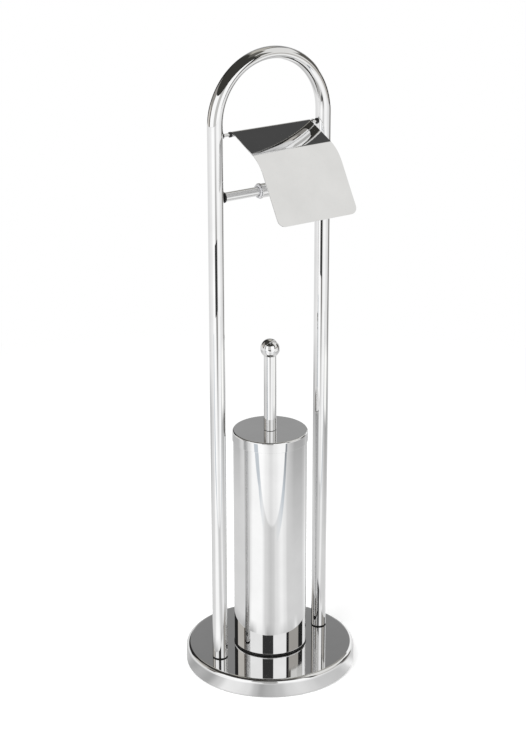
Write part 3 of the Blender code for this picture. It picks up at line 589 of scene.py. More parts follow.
def filleted(corners: list[Corner], closed: bool) -> list[Point]:
    """Round the corners of an outline that carry a fillet radius.

    Args:
        corners: (radius, height) or (radius, height, fillet) rows.
        closed: whether the outline joins its ends.

    Returns:
        The outline's points.
    """
    places = [Vector(corner[:2]) for corner in corners]
    count = len(corners)
    points: list[Point] = []
    for index, corner in enumerate(corners):
        fillet = corner[2] if len(corner) > 2 else 0.0
        at_end = not closed and index in (0, count - 1)
        if fillet <= 0 or at_end:
            points.append(tuple(places[index]))
            continue
        here = places[index]
        back = places[index - 1] - here
        ahead = places[(index + 1) % count] - here
        inside = back.angle(ahead)
        reach = min(fillet / math.tan(inside / 2), back.length * 0.49, ahead.length * 0.49)
        radius = reach * math.tan(inside / 2)
        start, end = here + back.normalized() * reach, here + ahead.normalized() * reach
        inward = (back.normalized() + ahead.normalized()).normalized()
        centre = here + inward * (radius / math.sin(inside / 2))
        steps = max(3, math.ceil((math.pi - inside) / FILLET_STEP))
        first, last = start - centre, end - centre
        turn = first.angle_signed(last)
        for step in range(steps + 1):
            spoke = first.copy()
            spoke.rotate(Matrix.Rotation(-turn * step / steps, 2))
            points.append(tuple(centre + spoke))
    return points


def supported(points: list[Point], closed: bool) -> list[Point]:
    """Add a point close to both ends of each long segment, so that smooth shading stays true.

    Args:
        points: the outline.
        closed: whether it joins its ends.

    Returns:
        The outline with its supports.
    """
    out: list[Point] = []
    count = len(points)
    for index, point in enumerate(points):
        out.append(point)
        if index == count - 1 and not closed:
            break
        here, there = Vector(point), Vector(points[(index + 1) % count])
        run = there - here
        if run.length > LONG_SEGMENT:
            step = run.normalized() * SUPPORT_DISTANCE
            out += [tuple(here + step), tuple(there - step)]
    return out


def aimed(place: Place = (0, 0, 0), along: Place = UP) -> Matrix:
    """Return the matrix that takes the origin to a place and +Z to a direction."""
    return Matrix.Translation(place) @ Vector(along).to_track_quat("Z", "Y").to_matrix().to_4x4()


def fresh(name: str) -> bpy.types.Object:
    """Put an object with an empty mesh of the same name into the scene.

    Args:
        name: name of the object.

    Returns:
        The new object.
    """
    obj = bpy.data.objects.new(name, bpy.data.meshes.new(name))
    bpy.context.scene.collection.objects.link(obj)
    return obj


@contextmanager
def editing(obj: bpy.types.Object) -> Iterator[bmesh.types.BMesh]:
    """Open an object's mesh for editing and write it back at the end.

    Args:
        obj: object whose mesh is edited.

    Yields:
        The mesh that can be edited.
    """
    edit = bmesh.new()
    edit.from_mesh(obj.data)
    yield edit
    edit.to_mesh(obj.data)
    edit.free()


def settle(edit: bmesh.types.BMesh, pose: Matrix) -> None:
    """Turn a mesh's faces outwards and move it to its pose."""
    bmesh.ops.recalc_face_normals(edit, faces=edit.faces)
    bmesh.ops.transform(edit, matrix=pose, verts=edit.verts)


def smooth(obj: bpy.types.Object, angle: float = SHARP_ANGLE) -> bpy.types.Object:
    """Shade an object smooth but for edges sharper than angle, and return it."""
    obj.data.shade_smooth()
    obj.data.set_sharp_from_angle(angle=angle)
    return obj


def baked(obj: bpy.types.Object) -> bpy.types.Object:
    """Replace an object's mesh by what its modifiers make of it.

    Args:
        obj: object with modifiers.

    Returns:
        The same object, with a plain mesh.
    """
    graph = bpy.context.evaluated_depsgraph_get()
    mesh = bpy.data.meshes.new_from_object(obj.evaluated_get(graph), depsgraph=graph)
    obj.modifiers.clear()
    obj.data = mesh
    mesh.name = obj.name
    return obj


def turned(name: str, corners: list[Corner], segments: int, pose: Matrix | None = None,
           supports: bool = True) -> bpy.types.Object:
    """Revolve a profile into a closed piece.

    Args:
        name: name of the piece.
        corners: (radius, height, fillet) rows; on the axis at both ends for a solid without a bore.
        segments: facets round the axis.
        pose: where the profile's origin and its axis go, upright at the origin if left out.
        supports: whether long segments get support loops.

    Returns:
        The new object.
    """
    ringed = corners[0][0] > 0
    points = filleted(corners, ringed)
    if supports:
        points = supported(points, ringed)
    spokes = [math.tau * index / segments for index in range(segments)]
    obj = fresh(name)
    with editing(obj) as edit:
        rings = []
        for radius, height in points:
            angles = spokes if radius >= MERGE_DISTANCE else [0.0]
            rings.append([edit.verts.new((radius * math.cos(turn), radius * math.sin(turn), height))
                          for turn in angles])
        for upper, lower in zip(rings, rings[1:] + (rings[:1] if ringed else [])):
            for index in range(segments):
                beside = (index + 1) % segments
                face = [upper[index % len(upper)], lower[index % len(lower)],
                        lower[beside % len(lower)], upper[beside % len(upper)]]
                edit.faces.new(list(dict.fromkeys(face)))
        settle(edit, pose or aimed())
    return smooth(obj)


def prism(name: str, outline: list[Point], start: float, end: float, pose: Matrix) -> bpy.types.Object:
    """Extrude a closed outline along local Z.

    Args:
        name: name of the object.
        outline: its points in order.
        start: first height.
        end: last height.
        pose: where the outline's origin and axes go.

    Returns:
        The new object.
    """
    obj = fresh(name)
    with editing(obj) as edit:
        lower, upper = [[edit.verts.new((x, y, height)) for x, y in outline] for height in (start, end)]
        edit.faces.new(lower)
        edit.faces.new(upper)
        for index in range(len(outline)):
            beside = (index + 1) % len(outline)
            edit.faces.new((lower[index], lower[beside], upper[beside], upper[index]))
        settle(edit, pose)
    return obj


def cut(obj: bpy.types.Object, cutter: bpy.types.Object, operation: str = "DIFFERENCE") -> bpy.types.Object:
    """Cut one object by another, which is used up.

    Args:
        obj: what is cut.
        cutter: what cuts it.
        operation: kind of Boolean.

    Returns:
        The cut object.
    """
    boolean = obj.modifiers.new(operation.lower(), "BOOLEAN")
    boolean.operation = operation
    boolean.solver = "EXACT"
    boolean.object = cutter
    baked(obj)
    bpy.data.objects.remove(cutter, do_unlink=True)
    return smooth(obj)


def thickened(obj: bpy.types.Object, thickness: float) -> bpy.types.Object:
    """Give an open sheet its thickness, inwards from its outer face.

    Args:
        obj: the sheet.
        thickness: its thickness.

    Returns:
        The same object.
    """
    solid = obj.modifiers.new("sheet", "SOLIDIFY")
    solid.thickness = thickness
    solid.offset = -1
    solid.use_even_offset = True
    return baked(obj)


def softened(obj: bpy.types.Object, width: float, segments: int) -> bpy.types.Object:
    """Round an object's sharp edges.

    Args:
        obj: what is rounded.
        width: width of the rounding.
        segments: facets across it.

    Returns:
        The same object.
    """
    bevel = obj.modifiers.new("edges", "BEVEL")
    bevel.width = width
    bevel.segments = segments
    bevel.limit_method = "ANGLE"
    bevel.angle_limit = SHARP_ANGLE
    return smooth(baked(obj), BLUNT_ANGLE)


def joined(obj: bpy.types.Object, other: bpy.types.Object) -> bpy.types.Object:
    """Put the mesh of another object, which is used up, into obj's.

    Args:
        obj: object that stays.
        other: object that is used up.

    Returns:
        The object that stays.
    """
    with editing(obj) as edit:
        edit.from_mesh(other.data)
    bpy.data.objects.remove(other, do_unlink=True)
    return smooth(obj)


def dressed(obj: bpy.types.Object, finish: Finish, body: str, node: str) -> None:
    """Give a piece its finish and lay it over its CAD node.

    Args:
        obj: the piece.
        finish: its surface finish.
        body: body it rides on.
        node: CAD node it stands for.
    """
    obj.data.materials.clear()
    obj.data.materials.append(finish.material())
    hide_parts(node)
    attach(obj, body)
    log.info("%s on %s: %d faces, %s", obj.name, body, len(obj.data.polygons), finish.name)


def carried(finish: Finish, *nodes: str) -> None:
    """Keep the shape of CAD nodes and give them a better material.

    Args:
        finish: their surface finish.
        nodes: CAD nodes that stay.
    """
    for node in nodes:
        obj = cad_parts[node]
        if not obj.material_slots:
            obj.data.materials.append(None)
        for place in obj.material_slots:
            place.material = finish.material()
        log.info("%s kept from the CAD, %s", node, finish.name)


# Geometry Nodes


class GrowingTree:
    """A Geometry Nodes tree with named inputs, run once into a plain mesh."""

    def __init__(self, name: str, sizes: dict[str, float], counts: dict[str, int]) -> None:
        """Start a tree with its inputs.

        Args:
            name: name of the tree.
            sizes: its lengths, angles and shares by name.
            counts: its whole numbers by name.
        """
        self.tree = bpy.data.node_groups.new(name, "GeometryNodeTree")
        self.sketch = NodeSketch(self.tree)
        self.values: dict[str, Any] = {**sizes, **counts}
        sockets = self.tree.interface
        for kind, keys in (("Float", sizes), ("Int", counts), ("Material", ["Material"])):
            for key in keys:
                sockets.new_socket(key, in_out="INPUT", socket_type=f"NodeSocket{kind}")
        sockets.new_socket("Geometry", in_out="OUTPUT", socket_type="NodeSocketGeometry")
        self.given = self.sketch.add("NodeGroupInput").outputs

    def grow(self, kind: str, inputs: dict[Any, Any] | None = None) -> Socket:
        """Add a Geometry Nodes node and return its first output."""
        return self.sketch.add(kind, inputs).outputs[0]

    def curve_row(self, count: Socket) -> Socket:
        """Return a straight curve of count points, for a later Set Position."""
        line = self.grow("GeometryNodeCurvePrimitiveLine")
        return self.grow("GeometryNodeResampleCurve", {"Curve": line, "Count": count})

    def swept(self, curve: Socket, radius: Socket, sides: Socket, caps: bool) -> Socket:
        """Sweep a circle along a curve.

        Args:
            curve: path.
            radius: circle's radius.
            sides: its facets.
            caps: whether the ends are closed.

        Returns:
            The swept mesh.
        """
        circle = self.grow("GeometryNodeCurvePrimitiveCircle", {"Resolution": sides, "Radius": radius})
        inputs = {"Curve": curve, "Profile Curve": circle, "Fill Caps": caps}
        return self.grow("GeometryNodeCurveToMesh", inputs)

    def grown(self, name: str, geometry: Socket, finish: Finish) -> bpy.types.Object:
        """Close the tree, run it with its values and return the plain result.

        Args:
            name: name of the object.
            geometry: what the tree puts out.
            finish: material of what it puts out.

        Returns:
            An object with a plain mesh.
        """
        real = self.grow("GeometryNodeRealizeInstances", {"Geometry": geometry})
        inputs = {"Geometry": real, "Material": self.given["Material"]}
        self.sketch.add("NodeGroupOutput", {0: self.grow("GeometryNodeSetMaterial", inputs)})
        obj = fresh(name)
        modifier = obj.modifiers.new(self.tree.name, "NODES")
        modifier.node_group = self.tree
        self.values["Material"] = finish.material()
        for item in self.tree.interface.items_tree:
            if item.in_out == "INPUT":
                modifier[item.identifier] = self.values[item.name]
        with editing(baked(obj)) as edit:
            bmesh.ops.remove_doubles(edit, verts=edit.verts, dist=MERGE_DISTANCE)
            bmesh.ops.recalc_face_normals(edit, faces=edit.faces)
        return smooth(obj)


def arched_tube(sizes: dict[str, float], counts: dict[str, int], finish: Finish) -> bpy.types.Object:
    """Sweep a tube up one leg, over the arch and down the other, oval where it is bent.

    Args:
        sizes: Half Span, Foot, Leg, Radius, Flattening and Widening.
        counts: Leg Steps, Arch Steps and Sides.
        finish: material of the tube.

    Returns:
        The tube's outer face, open at both feet.
    """
    tree = GrowingTree("arched_tube", sizes, counts)
    sketch, given = tree.sketch, tree.given
    index = tree.grow("GeometryNodeInputIndex")
    top = sketch.calc("ADD", given["Leg Steps"], given["Arch Steps"])
    last = sketch.calc("ADD", top, given["Leg Steps"])
    rise = sketch.ramp(index, 0.0, given["Leg Steps"], 0.0, given["Leg"])
    bend = sketch.ramp(index, given["Leg Steps"], top, 0.0, math.pi)
    fall = sketch.ramp(index, top, last, 0.0, given["Leg"])
    outward = sketch.combine(sketch.times(sketch.calc("COSINE", bend), -1.0), z=sketch.calc("SINE", bend))
    height = sketch.calc("SUBTRACT", sketch.calc("ADD", given["Foot"], rise), fall)
    reach = sketch.vector("SCALE", outward, given["Half Span"])
    centre = sketch.vector("ADD", sketch.combine(z=height), reach)
    row = tree.curve_row(sketch.calc("ADD", last, 1.0))
    path = tree.grow("GeometryNodeSetPosition", {"Geometry": row, "Position": centre})
    kept = []
    for value in (outward, centre):
        store = sketch.add("GeometryNodeCaptureAttribute")
        store.capture_items.new("VECTOR", "kept")
        sketch.feed(store, 0, path)
        sketch.feed(store, 1, value)
        path = store.outputs[0]
        kept.append(store.outputs[1])
    tube = tree.swept(path, given["Radius"], given["Sides"], False)
    offset = sketch.vector("SUBTRACT", tree.grow("GeometryNodeInputPosition"), kept[1])
    share = sketch.split(kept[0], 2)
    deep = sketch.times(sketch.vector("DOT_PRODUCT", offset, kept[0]), share)
    wide = sketch.times(sketch.split(offset, 1), share)
    flatter = sketch.vector("SCALE", kept[0], sketch.times(deep, given["Flattening"]))
    wider = sketch.combine(y=sketch.times(wide, given["Widening"]))
    move = sketch.vector("SUBTRACT", wider, flatter)
    oval = tree.grow("GeometryNodeSetPosition", {"Geometry": tube, "Offset": move})
    return tree.grown("arched_tube", oval, finish)


def coil(name: str, sizes: dict[str, float], counts: dict[str, int], pose: Matrix) -> bpy.types.Object:
    """Wind a round zinc-plated wire into a coil.

    Args:
        name: name of the object.
        sizes: Turns, Coil Radius, Length and Wire Radius.
        counts: Turn Steps and Sides.
        pose: where the coil starts and the direction it grows in.

    Returns:
        The coil, closed at both ends.
    """
    tree = GrowingTree("coil", sizes, counts)
    given = tree.given
    inputs = {"Resolution": given["Turn Steps"], "Rotations": given["Turns"], "Height": given["Length"],
              "Start Radius": given["Coil Radius"], "End Radius": given["Coil Radius"]}
    spiral = tree.grow("GeometryNodeCurveSpiral", inputs)
    obj = tree.grown(name, tree.swept(spiral, given["Wire Radius"], given["Sides"], True), ZINC)
    obj.data.transform(pose)
    return obj


def bristle_tufts(sizes: dict[str, float], counts: dict[str, int], finish: Finish) -> bpy.types.Object:
    """Set tufts of filaments in rows round a core, longest at mid height.

    Args:
        sizes: Bottom, Height, Root Radius, Reach, Barrel, Fan, Tuft Radius and Strand Radius.
        counts: Rows, Columns, Strands and Seed.
        finish: material of the filaments.

    Returns:
        All filaments as one mesh.
    """
    tree = GrowingTree("bristle_tufts", sizes, counts)
    sketch, given = tree.sketch, tree.given
    half_step, lean_most, tip_taper = 0.5, 0.07, 0.7
    shortest, longest = 0.93, 0.99

    def random(low: Any, high: Any, salt: float) -> Socket:
        """Return a random number or vector per point, each use with its own salt on the seed."""
        seed = sketch.calc("ADD", given["Seed"], salt)
        several = isinstance(low, tuple)
        kind, first, out = ("FLOAT_VECTOR", 0, 0) if several else ("FLOAT", 2, 1)
        inputs = {"Seed": seed, first: low, first + 1: high}
        return sketch.add("FunctionNodeRandomValue", inputs, data_type=kind).outputs[out]

    cone = {"Vertices": 4, "Side Segments": 3, "Radius Top": sketch.times(given["Strand Radius"], tip_taper),
            "Radius Bottom": given["Strand Radius"], "Depth": given["Reach"]}
    strand = tree.grow("GeometryNodeMeshCone", cone)
    spread = sketch.vector("SCALE", random((-1, -1, 0), (1, 1, 0), 1.0), given["Tuft Radius"])
    roots = tree.grow("GeometryNodePoints", {"Count": given["Strands"], "Position": spread})
    twist = random((-lean_most, -lean_most, 0), (lean_most, lean_most, 1.5), 2.0)
    length = sketch.combine(1.0, 1.0, random(shortest, longest, 3.0))
    inputs = {"Points": roots, "Instance": strand, "Rotation": twist, "Scale": length}
    tuft = tree.grow("GeometryNodeInstanceOnPoints", inputs)
    index = tree.grow("GeometryNodeInputIndex")
    row = sketch.calc("FLOOR", sketch.calc("DIVIDE", index, given["Columns"]))
    column = sketch.calc("SUBTRACT", index, sketch.times(row, given["Columns"]))
    shifted = sketch.calc("MULTIPLY_ADD", sketch.calc("MODULO", row, 2.0), half_step, column)
    angle = sketch.times(sketch.calc("DIVIDE", shifted, given["Columns"]), math.tau)
    share = sketch.calc("DIVIDE", sketch.calc("ADD", row, half_step), given["Rows"])
    level = sketch.calc("MULTIPLY_ADD", share, 2.0, -1.0)
    outward = sketch.combine(sketch.calc("COSINE", angle), sketch.calc("SINE", angle))
    height = sketch.calc("MULTIPLY_ADD", share, given["Height"], given["Bottom"])
    reach = sketch.vector("SCALE", outward, given["Root Radius"])
    place = sketch.vector("ADD", sketch.combine(z=height), reach)
    lean = sketch.times(sketch.calc("TANGENT", given["Fan"]), sketch.calc("MINIMUM", level, 0.0))
    aim = sketch.vector("ADD", outward, sketch.combine(z=lean))
    aim = sketch.add("FunctionNodeAlignRotationToVector", {"Vector": aim}, axis="Z").outputs[0]
    roll = tree.grow("FunctionNodeAxisAngleToRotation", {"Axis": UP, "Angle": random(0.0, math.tau, 4.0)})
    turn = sketch.add("FunctionNodeRotateRotation", {0: aim, 1: roll}, rotation_space="LOCAL").outputs[0]
    barrel = sketch.times(sketch.times(level, level), given["Barrel"])
    size = sketch.combine(1.0, 1.0, sketch.calc("SUBTRACT", 1.0, barrel))
    total = sketch.times(given["Rows"], given["Columns"])
    seats = tree.grow("GeometryNodePoints", {"Count": total, "Position": place})
    inputs = {"Points": seats, "Instance": tuft, "Rotation": turn, "Scale": size}
    return tree.grown("tufts", tree.grow("GeometryNodeInstanceOnPoints", inputs), finish)


# The stand


@dataclass
class SocketScrew:
    """Cap screw with a hexagon socket, seen from below, and a thread on its shank."""

    name: str
    node: str
    x: float
    head_height: float = 0.0045
    shank_radius: float = 0.0030
    core_radius: float = 0.0026
    socket_radius: float = 0.0028
    socket_depth: float = 0.0025
    thread_pitch: float = 0.0010
    thread_share: float = 0.9
    plain_tip: float = 0.0006

    def build(self) -> None:
        """Make the screw and lay it over its node."""
        pose = aimed((self.x, 0, 0))
        top, bottom, head = highest(self.node), lowest(self.node), half(self.node)
        head_top = bottom + self.head_height
        profile = [(0, top), (self.core_radius, top, SOFT_EDGE), (self.core_radius, head_top),
                   (head, head_top, EDGE), (head, bottom, ROUND_EDGE), (0, bottom)]
        screw = turned(self.name, profile, Facets.BOLT, pose)
        outline = hexagon(self.socket_radius)
        place = Matrix.Translation((self.x, 0, 0))
        cut(screw, prism("socket", outline, bottom - CUT_OVERRUN, bottom + self.socket_depth, place))
        ridge = (self.shank_radius - self.core_radius) * self.thread_share
        start = head_top + ridge
        length = top - ridge - self.plain_tip - start
        sizes = {"Turns": length / self.thread_pitch, "Coil Radius": self.shank_radius - ridge,
                 "Length": length, "Wire Radius": ridge}
        thread = coil("thread", sizes, {"Turn Steps": 32, "Sides": 6}, aimed((self.x, 0, start)))
        dressed(joined(screw, thread), ZINC, "stand", self.node)


@dataclass
class HexNut:
    """Hexagon nut with turned chamfers."""

    name: str
    node: str
    body: str
    chamfer_angle: float = math.radians(30)
    flat_share: float = 0.98
    blank_share: float = 1.001

    def build(self) -> None:
        """Make the nut and lay it over its node."""
        radius, top, bottom = half(self.node, "x"), highest(self.node), lowest(self.node)
        nut = prism(self.name, hexagon(radius), bottom, top, Matrix())
        across_flats = radius * math.cos(math.pi / 6)
        chamfer = (radius - across_flats) * math.tan(self.chamfer_angle)
        flat, spare = across_flats * self.flat_share, radius * self.blank_share
        blank = [(0, top), (flat, top), (spare, top - chamfer), (spare, bottom + chamfer),
                 (flat, bottom), (0, bottom)]
        cut(nut, turned("blank", blank, Facets.SEAL, supports=False), "INTERSECT")
        cut(nut, turned("bore", rod(CLEAR_BORE, bottom - CUT_OVERRUN, top + CUT_OVERRUN), Facets.BOLT))
        dressed(nut, ZINC, self.body, self.node)


@dataclass
class StandBase:
    """Drawn cap over cast ballast, closed from below by a plastic plate with four grip pads."""

    radius: float = half("base_cover")
    top: float = highest("base_cover")
    skirt_bottom: float = lowest("base_cover")
    shoulder: float = 0.0050
    sheet: float = 0.0010
    inner_corner: float = 0.0026
    plate_bottom: float = lowest("base_plate")
    plate_top: float = highest("base_plate")
    plate_grooves: tuple[float, ...] = (0.0935, 0.0535)
    pocket: float = highest("holder_washer") + GAP
    washer_radius: float = half("holder_washer")
    leg_x: float = middle("leg_screw_right", "x")
    pad_x: float = middle("foot_pad_1", "x")
    pad_radius: float = half("foot_pad_1")
    pad_edge: float = 0.0006
    pad_grooves: tuple[float, ...] = (0.0072, 0.0048, 0.0024)

    def recess(self, x: float) -> bpy.types.Object:
        """Return the stepped cutter of one base screw at x."""
        low, high = self.plate_bottom - CUT_OVERRUN, self.top + CUT_OVERRUN
        wide = self.washer_radius + GAP
        profile = [(0, high), (CLEAR_BORE, high), (CLEAR_BORE, self.pocket), (wide, self.pocket),
                   (wide, low), (0, low)]
        return turned("recess", profile, Facets.ROD, aimed((x, 0, 0)), False)

    def build(self) -> None:
        """Make the base's visible pieces and keep the ballast."""
        inner, high, low = self.radius - self.sheet, self.plate_top, self.plate_bottom
        profile = [(0, self.top), (self.radius, self.top, self.shoulder),
                   (self.radius, self.skirt_bottom, EDGE), (inner, self.skirt_bottom, EDGE),
                   (inner, self.top - self.sheet, self.inner_corner), (0, self.top - self.sheet)]
        cap = turned("base_cap", profile, Facets.DRUM)
        profile = [(0, high), (inner - GAP, high, EDGE), (inner - GAP, low, ROUND_EDGE)]
        for ring in self.plate_grooves:
            profile += groove(ring, 0.0010, 0.0005, low, (high - low) / 3, FINE_EDGE)
        plate = turned("underside_plate", [*profile, (0, low)], Facets.RING)
        for x in (-self.leg_x, 0, self.leg_x):
            cut(cap, self.recess(x))
            cut(plate, self.recess(x))
        dressed(cap, TURNED_STEEL, "stand", "base_cover")
        dressed(plate, BLACK_PLASTIC, "stand", "base_plate")
        for number in range(1, 5):
            self.grip_pad(number)
        carried(IRON, "base_weight")

    def grip_pad(self, number: int) -> None:
        """Make one grip pad with rings in its tread.

        Args:
            number: 1 to 4, anticlockwise from +X.
        """
        angle = math.tau * (number - 0.5) / 4
        place = Vector((math.cos(angle), math.sin(angle), 0)) * self.pad_x * math.sqrt(2)
        top = self.plate_bottom - GAP
        profile = [(0, top), (self.pad_radius, top, EDGE), (self.pad_radius, 0, self.pad_edge)]
        for ring in self.pad_grooves:
            profile += groove(ring, 0.0006, 0.0004, 0, 0.0006, KEEN_EDGE)
        pad = turned(f"grip_pad_{number}", [*profile, (0, 0)], Facets.ROD, aimed(place))
        dressed(pad, BLACK_RUBBER, "stand", f"foot_pad_{number}")


@dataclass
class FrameTube:
    """One bent tube from foot to foot, with a rubber seal, plug and screw below each leg."""

    foot: float = lowest("frame_tube")
    radius: float = highest("frame_tube", "x") - LEG_X
    wall: float = 0.0012
    flattening: float = 0.21
    widening: float = 0.04
    rod_z: float = middle("hinge_rod")
    rod_hole: float = half("hinge_rod") + 0.0012
    bar_z: float = middle("bar_inner_tube")
    bar_hole: float = 0.0023
    ring_apart: float = 0.005
    end_ring: float = 0.0004

    def build(self) -> None:
        """Make the tube with its holes, the seals and the screws."""
        crown = LEG_X + self.radius * (1 - self.flattening)
        arch = highest("frame_tube") - crown
        sizes = {"Half Span": LEG_X, "Foot": self.foot, "Leg": arch - self.foot, "Radius": self.radius,
                 "Flattening": self.flattening, "Widening": self.widening}
        tube = arched_tube(sizes, {"Leg Steps": 12, "Arch Steps": 96, "Sides": 72}, TURNED_STEEL)
        rings = [arch - self.end_ring, self.rod_z + self.ring_apart, self.rod_z - self.ring_apart,
                 self.bar_z + self.ring_apart, self.bar_z - self.ring_apart, self.foot + self.end_ring]
        with editing(tube) as edit:
            for height in rings:
                whole = edit.verts[:] + edit.edges[:] + edit.faces[:]
                bmesh.ops.bisect_plane(edit, geom=whole, plane_co=(0, 0, height), plane_no=UP)
        smooth(thickened(tube, self.wall))
        for height, radius in ((self.rod_z, self.rod_hole), (self.bar_z, self.bar_hole)):
            profile = rod(radius, -LEG_X, LEG_X)
            cut(tube, turned("hole", profile, Facets.BOLT, aimed((0, 0, height), RIGHT), False))
        dressed(tube, TURNED_STEEL, "stand", "frame_tube")
        for side, sign in SIDES.items():
            self.foot_fittings(side, sign * LEG_X)

    def foot_fittings(self, side: str, x: float) -> None:
        """Make one leg's seal and screw, and keep its plug and washer.

        Args:
            side: left or right.
            x: where the leg stands.
        """
        node = f"leg_gasket_{side}"
        profile = pipe(half(node), CLEAR_BORE, lowest(node), highest(node), FINE_EDGE)
        seal = turned(f"leg_seal_{side}", profile, Facets.SEAL, aimed((x, 0, 0)))
        dressed(seal, BLACK_RUBBER, "stand", node)
        SocketScrew(f"leg_cap_screw_{side}", f"leg_screw_{side}", x).build()
        carried(ZINC, f"leg_plug_{side}", f"leg_washer_{side}")


@dataclass
class RollCover:
    """Bent sheet with an eye rolled round its rod, bushes in the legs and a collar at each side."""

    hinge_z: float = middle("hinge_rod")
    eye_bore: float = half("hinge_rod") + GAP
    eye_radius: float = half("hinge_rod") + GAP + 0.0008
    eye_turn: float = 290.0
    sheet: float = 0.0008
    left_x: float = lowest("roll_cover", "x")
    right_x: float = highest("roll_cover", "x")
    top_slope: float = 23.0
    front_slope: float = 59.0
    top_length: float = 0.0412
    bend_radius: float = 0.0460
    bend_steps: int = 28
    front_length: float = 0.0590
    corner: float = 0.0083
    corner_step: int = 6
    notch_from: float = -71.4
    notch_to: float = 85.4
    notch_width: float = 0.0023
    lug_from: float = -55.0
    lug_to: float = -21.0
    edge_width: float = 0.00015
    bush_wall: float = 0.0006

    def down(self, slope: float) -> Vector:
        """Return the way down a stretch with a slope in degrees."""
        return Vector(spot((0, 0), -1, slope))

    def rows(self) -> list[tuple[float, float, float, float]]:
        """Return the sheet's stations.

        Returns:
            (distance from the eye's tangent, y, z, angle round the eye) rows, eye end first.
        """
        start = 90 + self.top_slope
        spans = ((start - self.eye_turn, self.notch_from, 18), (self.notch_from, self.notch_to, 26),
                 (self.notch_to, start, 6))
        rows = []
        for low, high, steps in spans:
            for step in range(steps + (high == start)):
                angle = low + (high - low) * step / steps
                run = math.radians(angle - start) * self.eye_radius
                rows.append((run, *spot((0, 0), self.eye_radius, angle), angle))
        tangent, ahead = Vector(rows[-1][1:3]), self.down(self.top_slope)
        for run in (SUPPORT_DISTANCE, self.top_length - SUPPORT_DISTANCE):
            rows.append((run, *(tangent + ahead * run), math.inf))
        inward = Vector((-ahead.y, ahead.x))
        centre = tangent + ahead * self.top_length + inward * self.bend_radius
        for step in range(self.bend_steps + 1):
            turn = (self.front_slope - self.top_slope) * step / self.bend_steps
            run = self.top_length + math.radians(turn) * self.bend_radius
            rows.append((run, *spot(centre, self.bend_radius, start + turn), math.inf))
        bent, corner_start, ahead = rows[-1][0], Vector(rows[-1][1:3]), self.down(self.front_slope)
        straight = self.front_length - self.corner
        runs = [SUPPORT_DISTANCE, straight - SUPPORT_DISTANCE]
        leans = [math.radians(lean) for lean in range(0, 91, self.corner_step)]
        runs += [straight + self.corner * math.sin(lean) for lean in leans]
        return rows + [(bent + run, *(corner_start + ahead * run), math.inf) for run in runs]

    def flap(self) -> bpy.types.Object:
        """Return the bent sheet with its eye, notch and rounded corners."""
        rows = self.rows()
        centre, reach = (self.left_x + self.right_x) / 2, (self.right_x - self.left_x) / 2
        near = 2 * SUPPORT_DISTANCE / reach
        notch = -1 + self.notch_width / reach
        shares = [-1, -1 + near, notch - near, notch, notch + near, 0, 1 - near, 1]
        notch_shares = 3
        flap = fresh("roll_flap")
        with editing(flap) as edit:
            lines = []
            for distance, y, z, _ in rows:
                into = max(0.0, distance - (rows[-1][0] - self.corner))
                half_width = reach - self.corner + math.sqrt(max(0.0, self.corner**2 - into**2))
                spots = [(centre + share * half_width, y, z + self.hinge_z) for share in shares]
                lines.append([edit.verts.new(place) for place in spots])
            for first, second, row, beyond in zip(lines, lines[1:], rows, rows[1:]):
                notched = row[3] > self.notch_from - 0.01 and beyond[3] < self.notch_to + 0.01
                for column in range(notch_shares if notched else 0, len(shares) - 1):
                    edit.faces.new((first[column], second[column], second[column + 1], first[column + 1]))
            loose = [vert for vert in edit.verts if not vert.link_faces]
            bmesh.ops.delete(edit, geom=loose, context="VERTS")
        return softened(thickened(flap, self.sheet), self.edge_width, 3)

    def collar(self, name: str, start: float, end: float) -> bpy.types.Object:
        """Return a named collar on the rod, from one x to another."""
        profile = pipe(half("stop_collar_right"), self.eye_bore, start, end, EDGE, KEEN_EDGE)
        return turned(name, profile, Facets.ROD, aimed((0, 0, self.hinge_z), RIGHT))

    def build(self) -> None:
        """Make the cover, rod, bushes and collars."""
        dressed(self.flap(), SHEET_STEEL, "cover", "roll_cover")
        place, end = (0, 0, self.hinge_z), highest("hinge_rod", "x")
        shaft = turned("cover_rod", rod(half("hinge_rod"), -end, end, EDGE), Facets.ROD, aimed(place, RIGHT))
        dressed(shaft, BAR_STEEL, "stand", "hinge_rod")
        node = "hinge_bush_right"
        back, front, tip = LEG_FACE - GAP, lowest(node, "x"), highest(node, "x")
        sleeve, flange = self.eye_bore + self.bush_wall, half(node)
        profile = [(sleeve, tip, KEEN_EDGE), (sleeve, back), (flange, back, KEEN_EDGE),
                   (flange, front, SOFT_EDGE), (self.eye_bore, front, KEEN_EDGE), (self.eye_bore, tip)]
        for side, sign in SIDES.items():
            bush = turned(f"rod_bush_{side}", profile, Facets.ROD, aimed(place, (sign, 0, 0)))
            dressed(bush, BLACK_PLASTIC, "stand", f"hinge_bush_{side}")
        start, tip = lowest("stop_collar_left", "x"), highest("stop_collar_left", "x")
        lug_collar = self.collar("lug_collar", start, self.left_x - GAP)
        outline = arc((0, 0), self.eye_bore, self.lug_from, self.lug_to, 8)
        outline += arc((0, 0), self.eye_radius, self.lug_to, self.lug_from, 8)
        pose = Matrix.Translation(place) @ Euler((math.pi / 2, 0, math.pi / 2)).to_matrix().to_4x4()
        cut(lug_collar, prism("lug", outline, (start + self.left_x) / 2, tip, pose), "UNION")
        dressed(lug_collar, BLACK_PLASTIC, "stand", "stop_collar_left")
        node = "stop_collar_right"
        dressed(self.collar("end_collar", lowest(node, "x"), highest(node, "x")), BAR_STEEL, "stand", node)


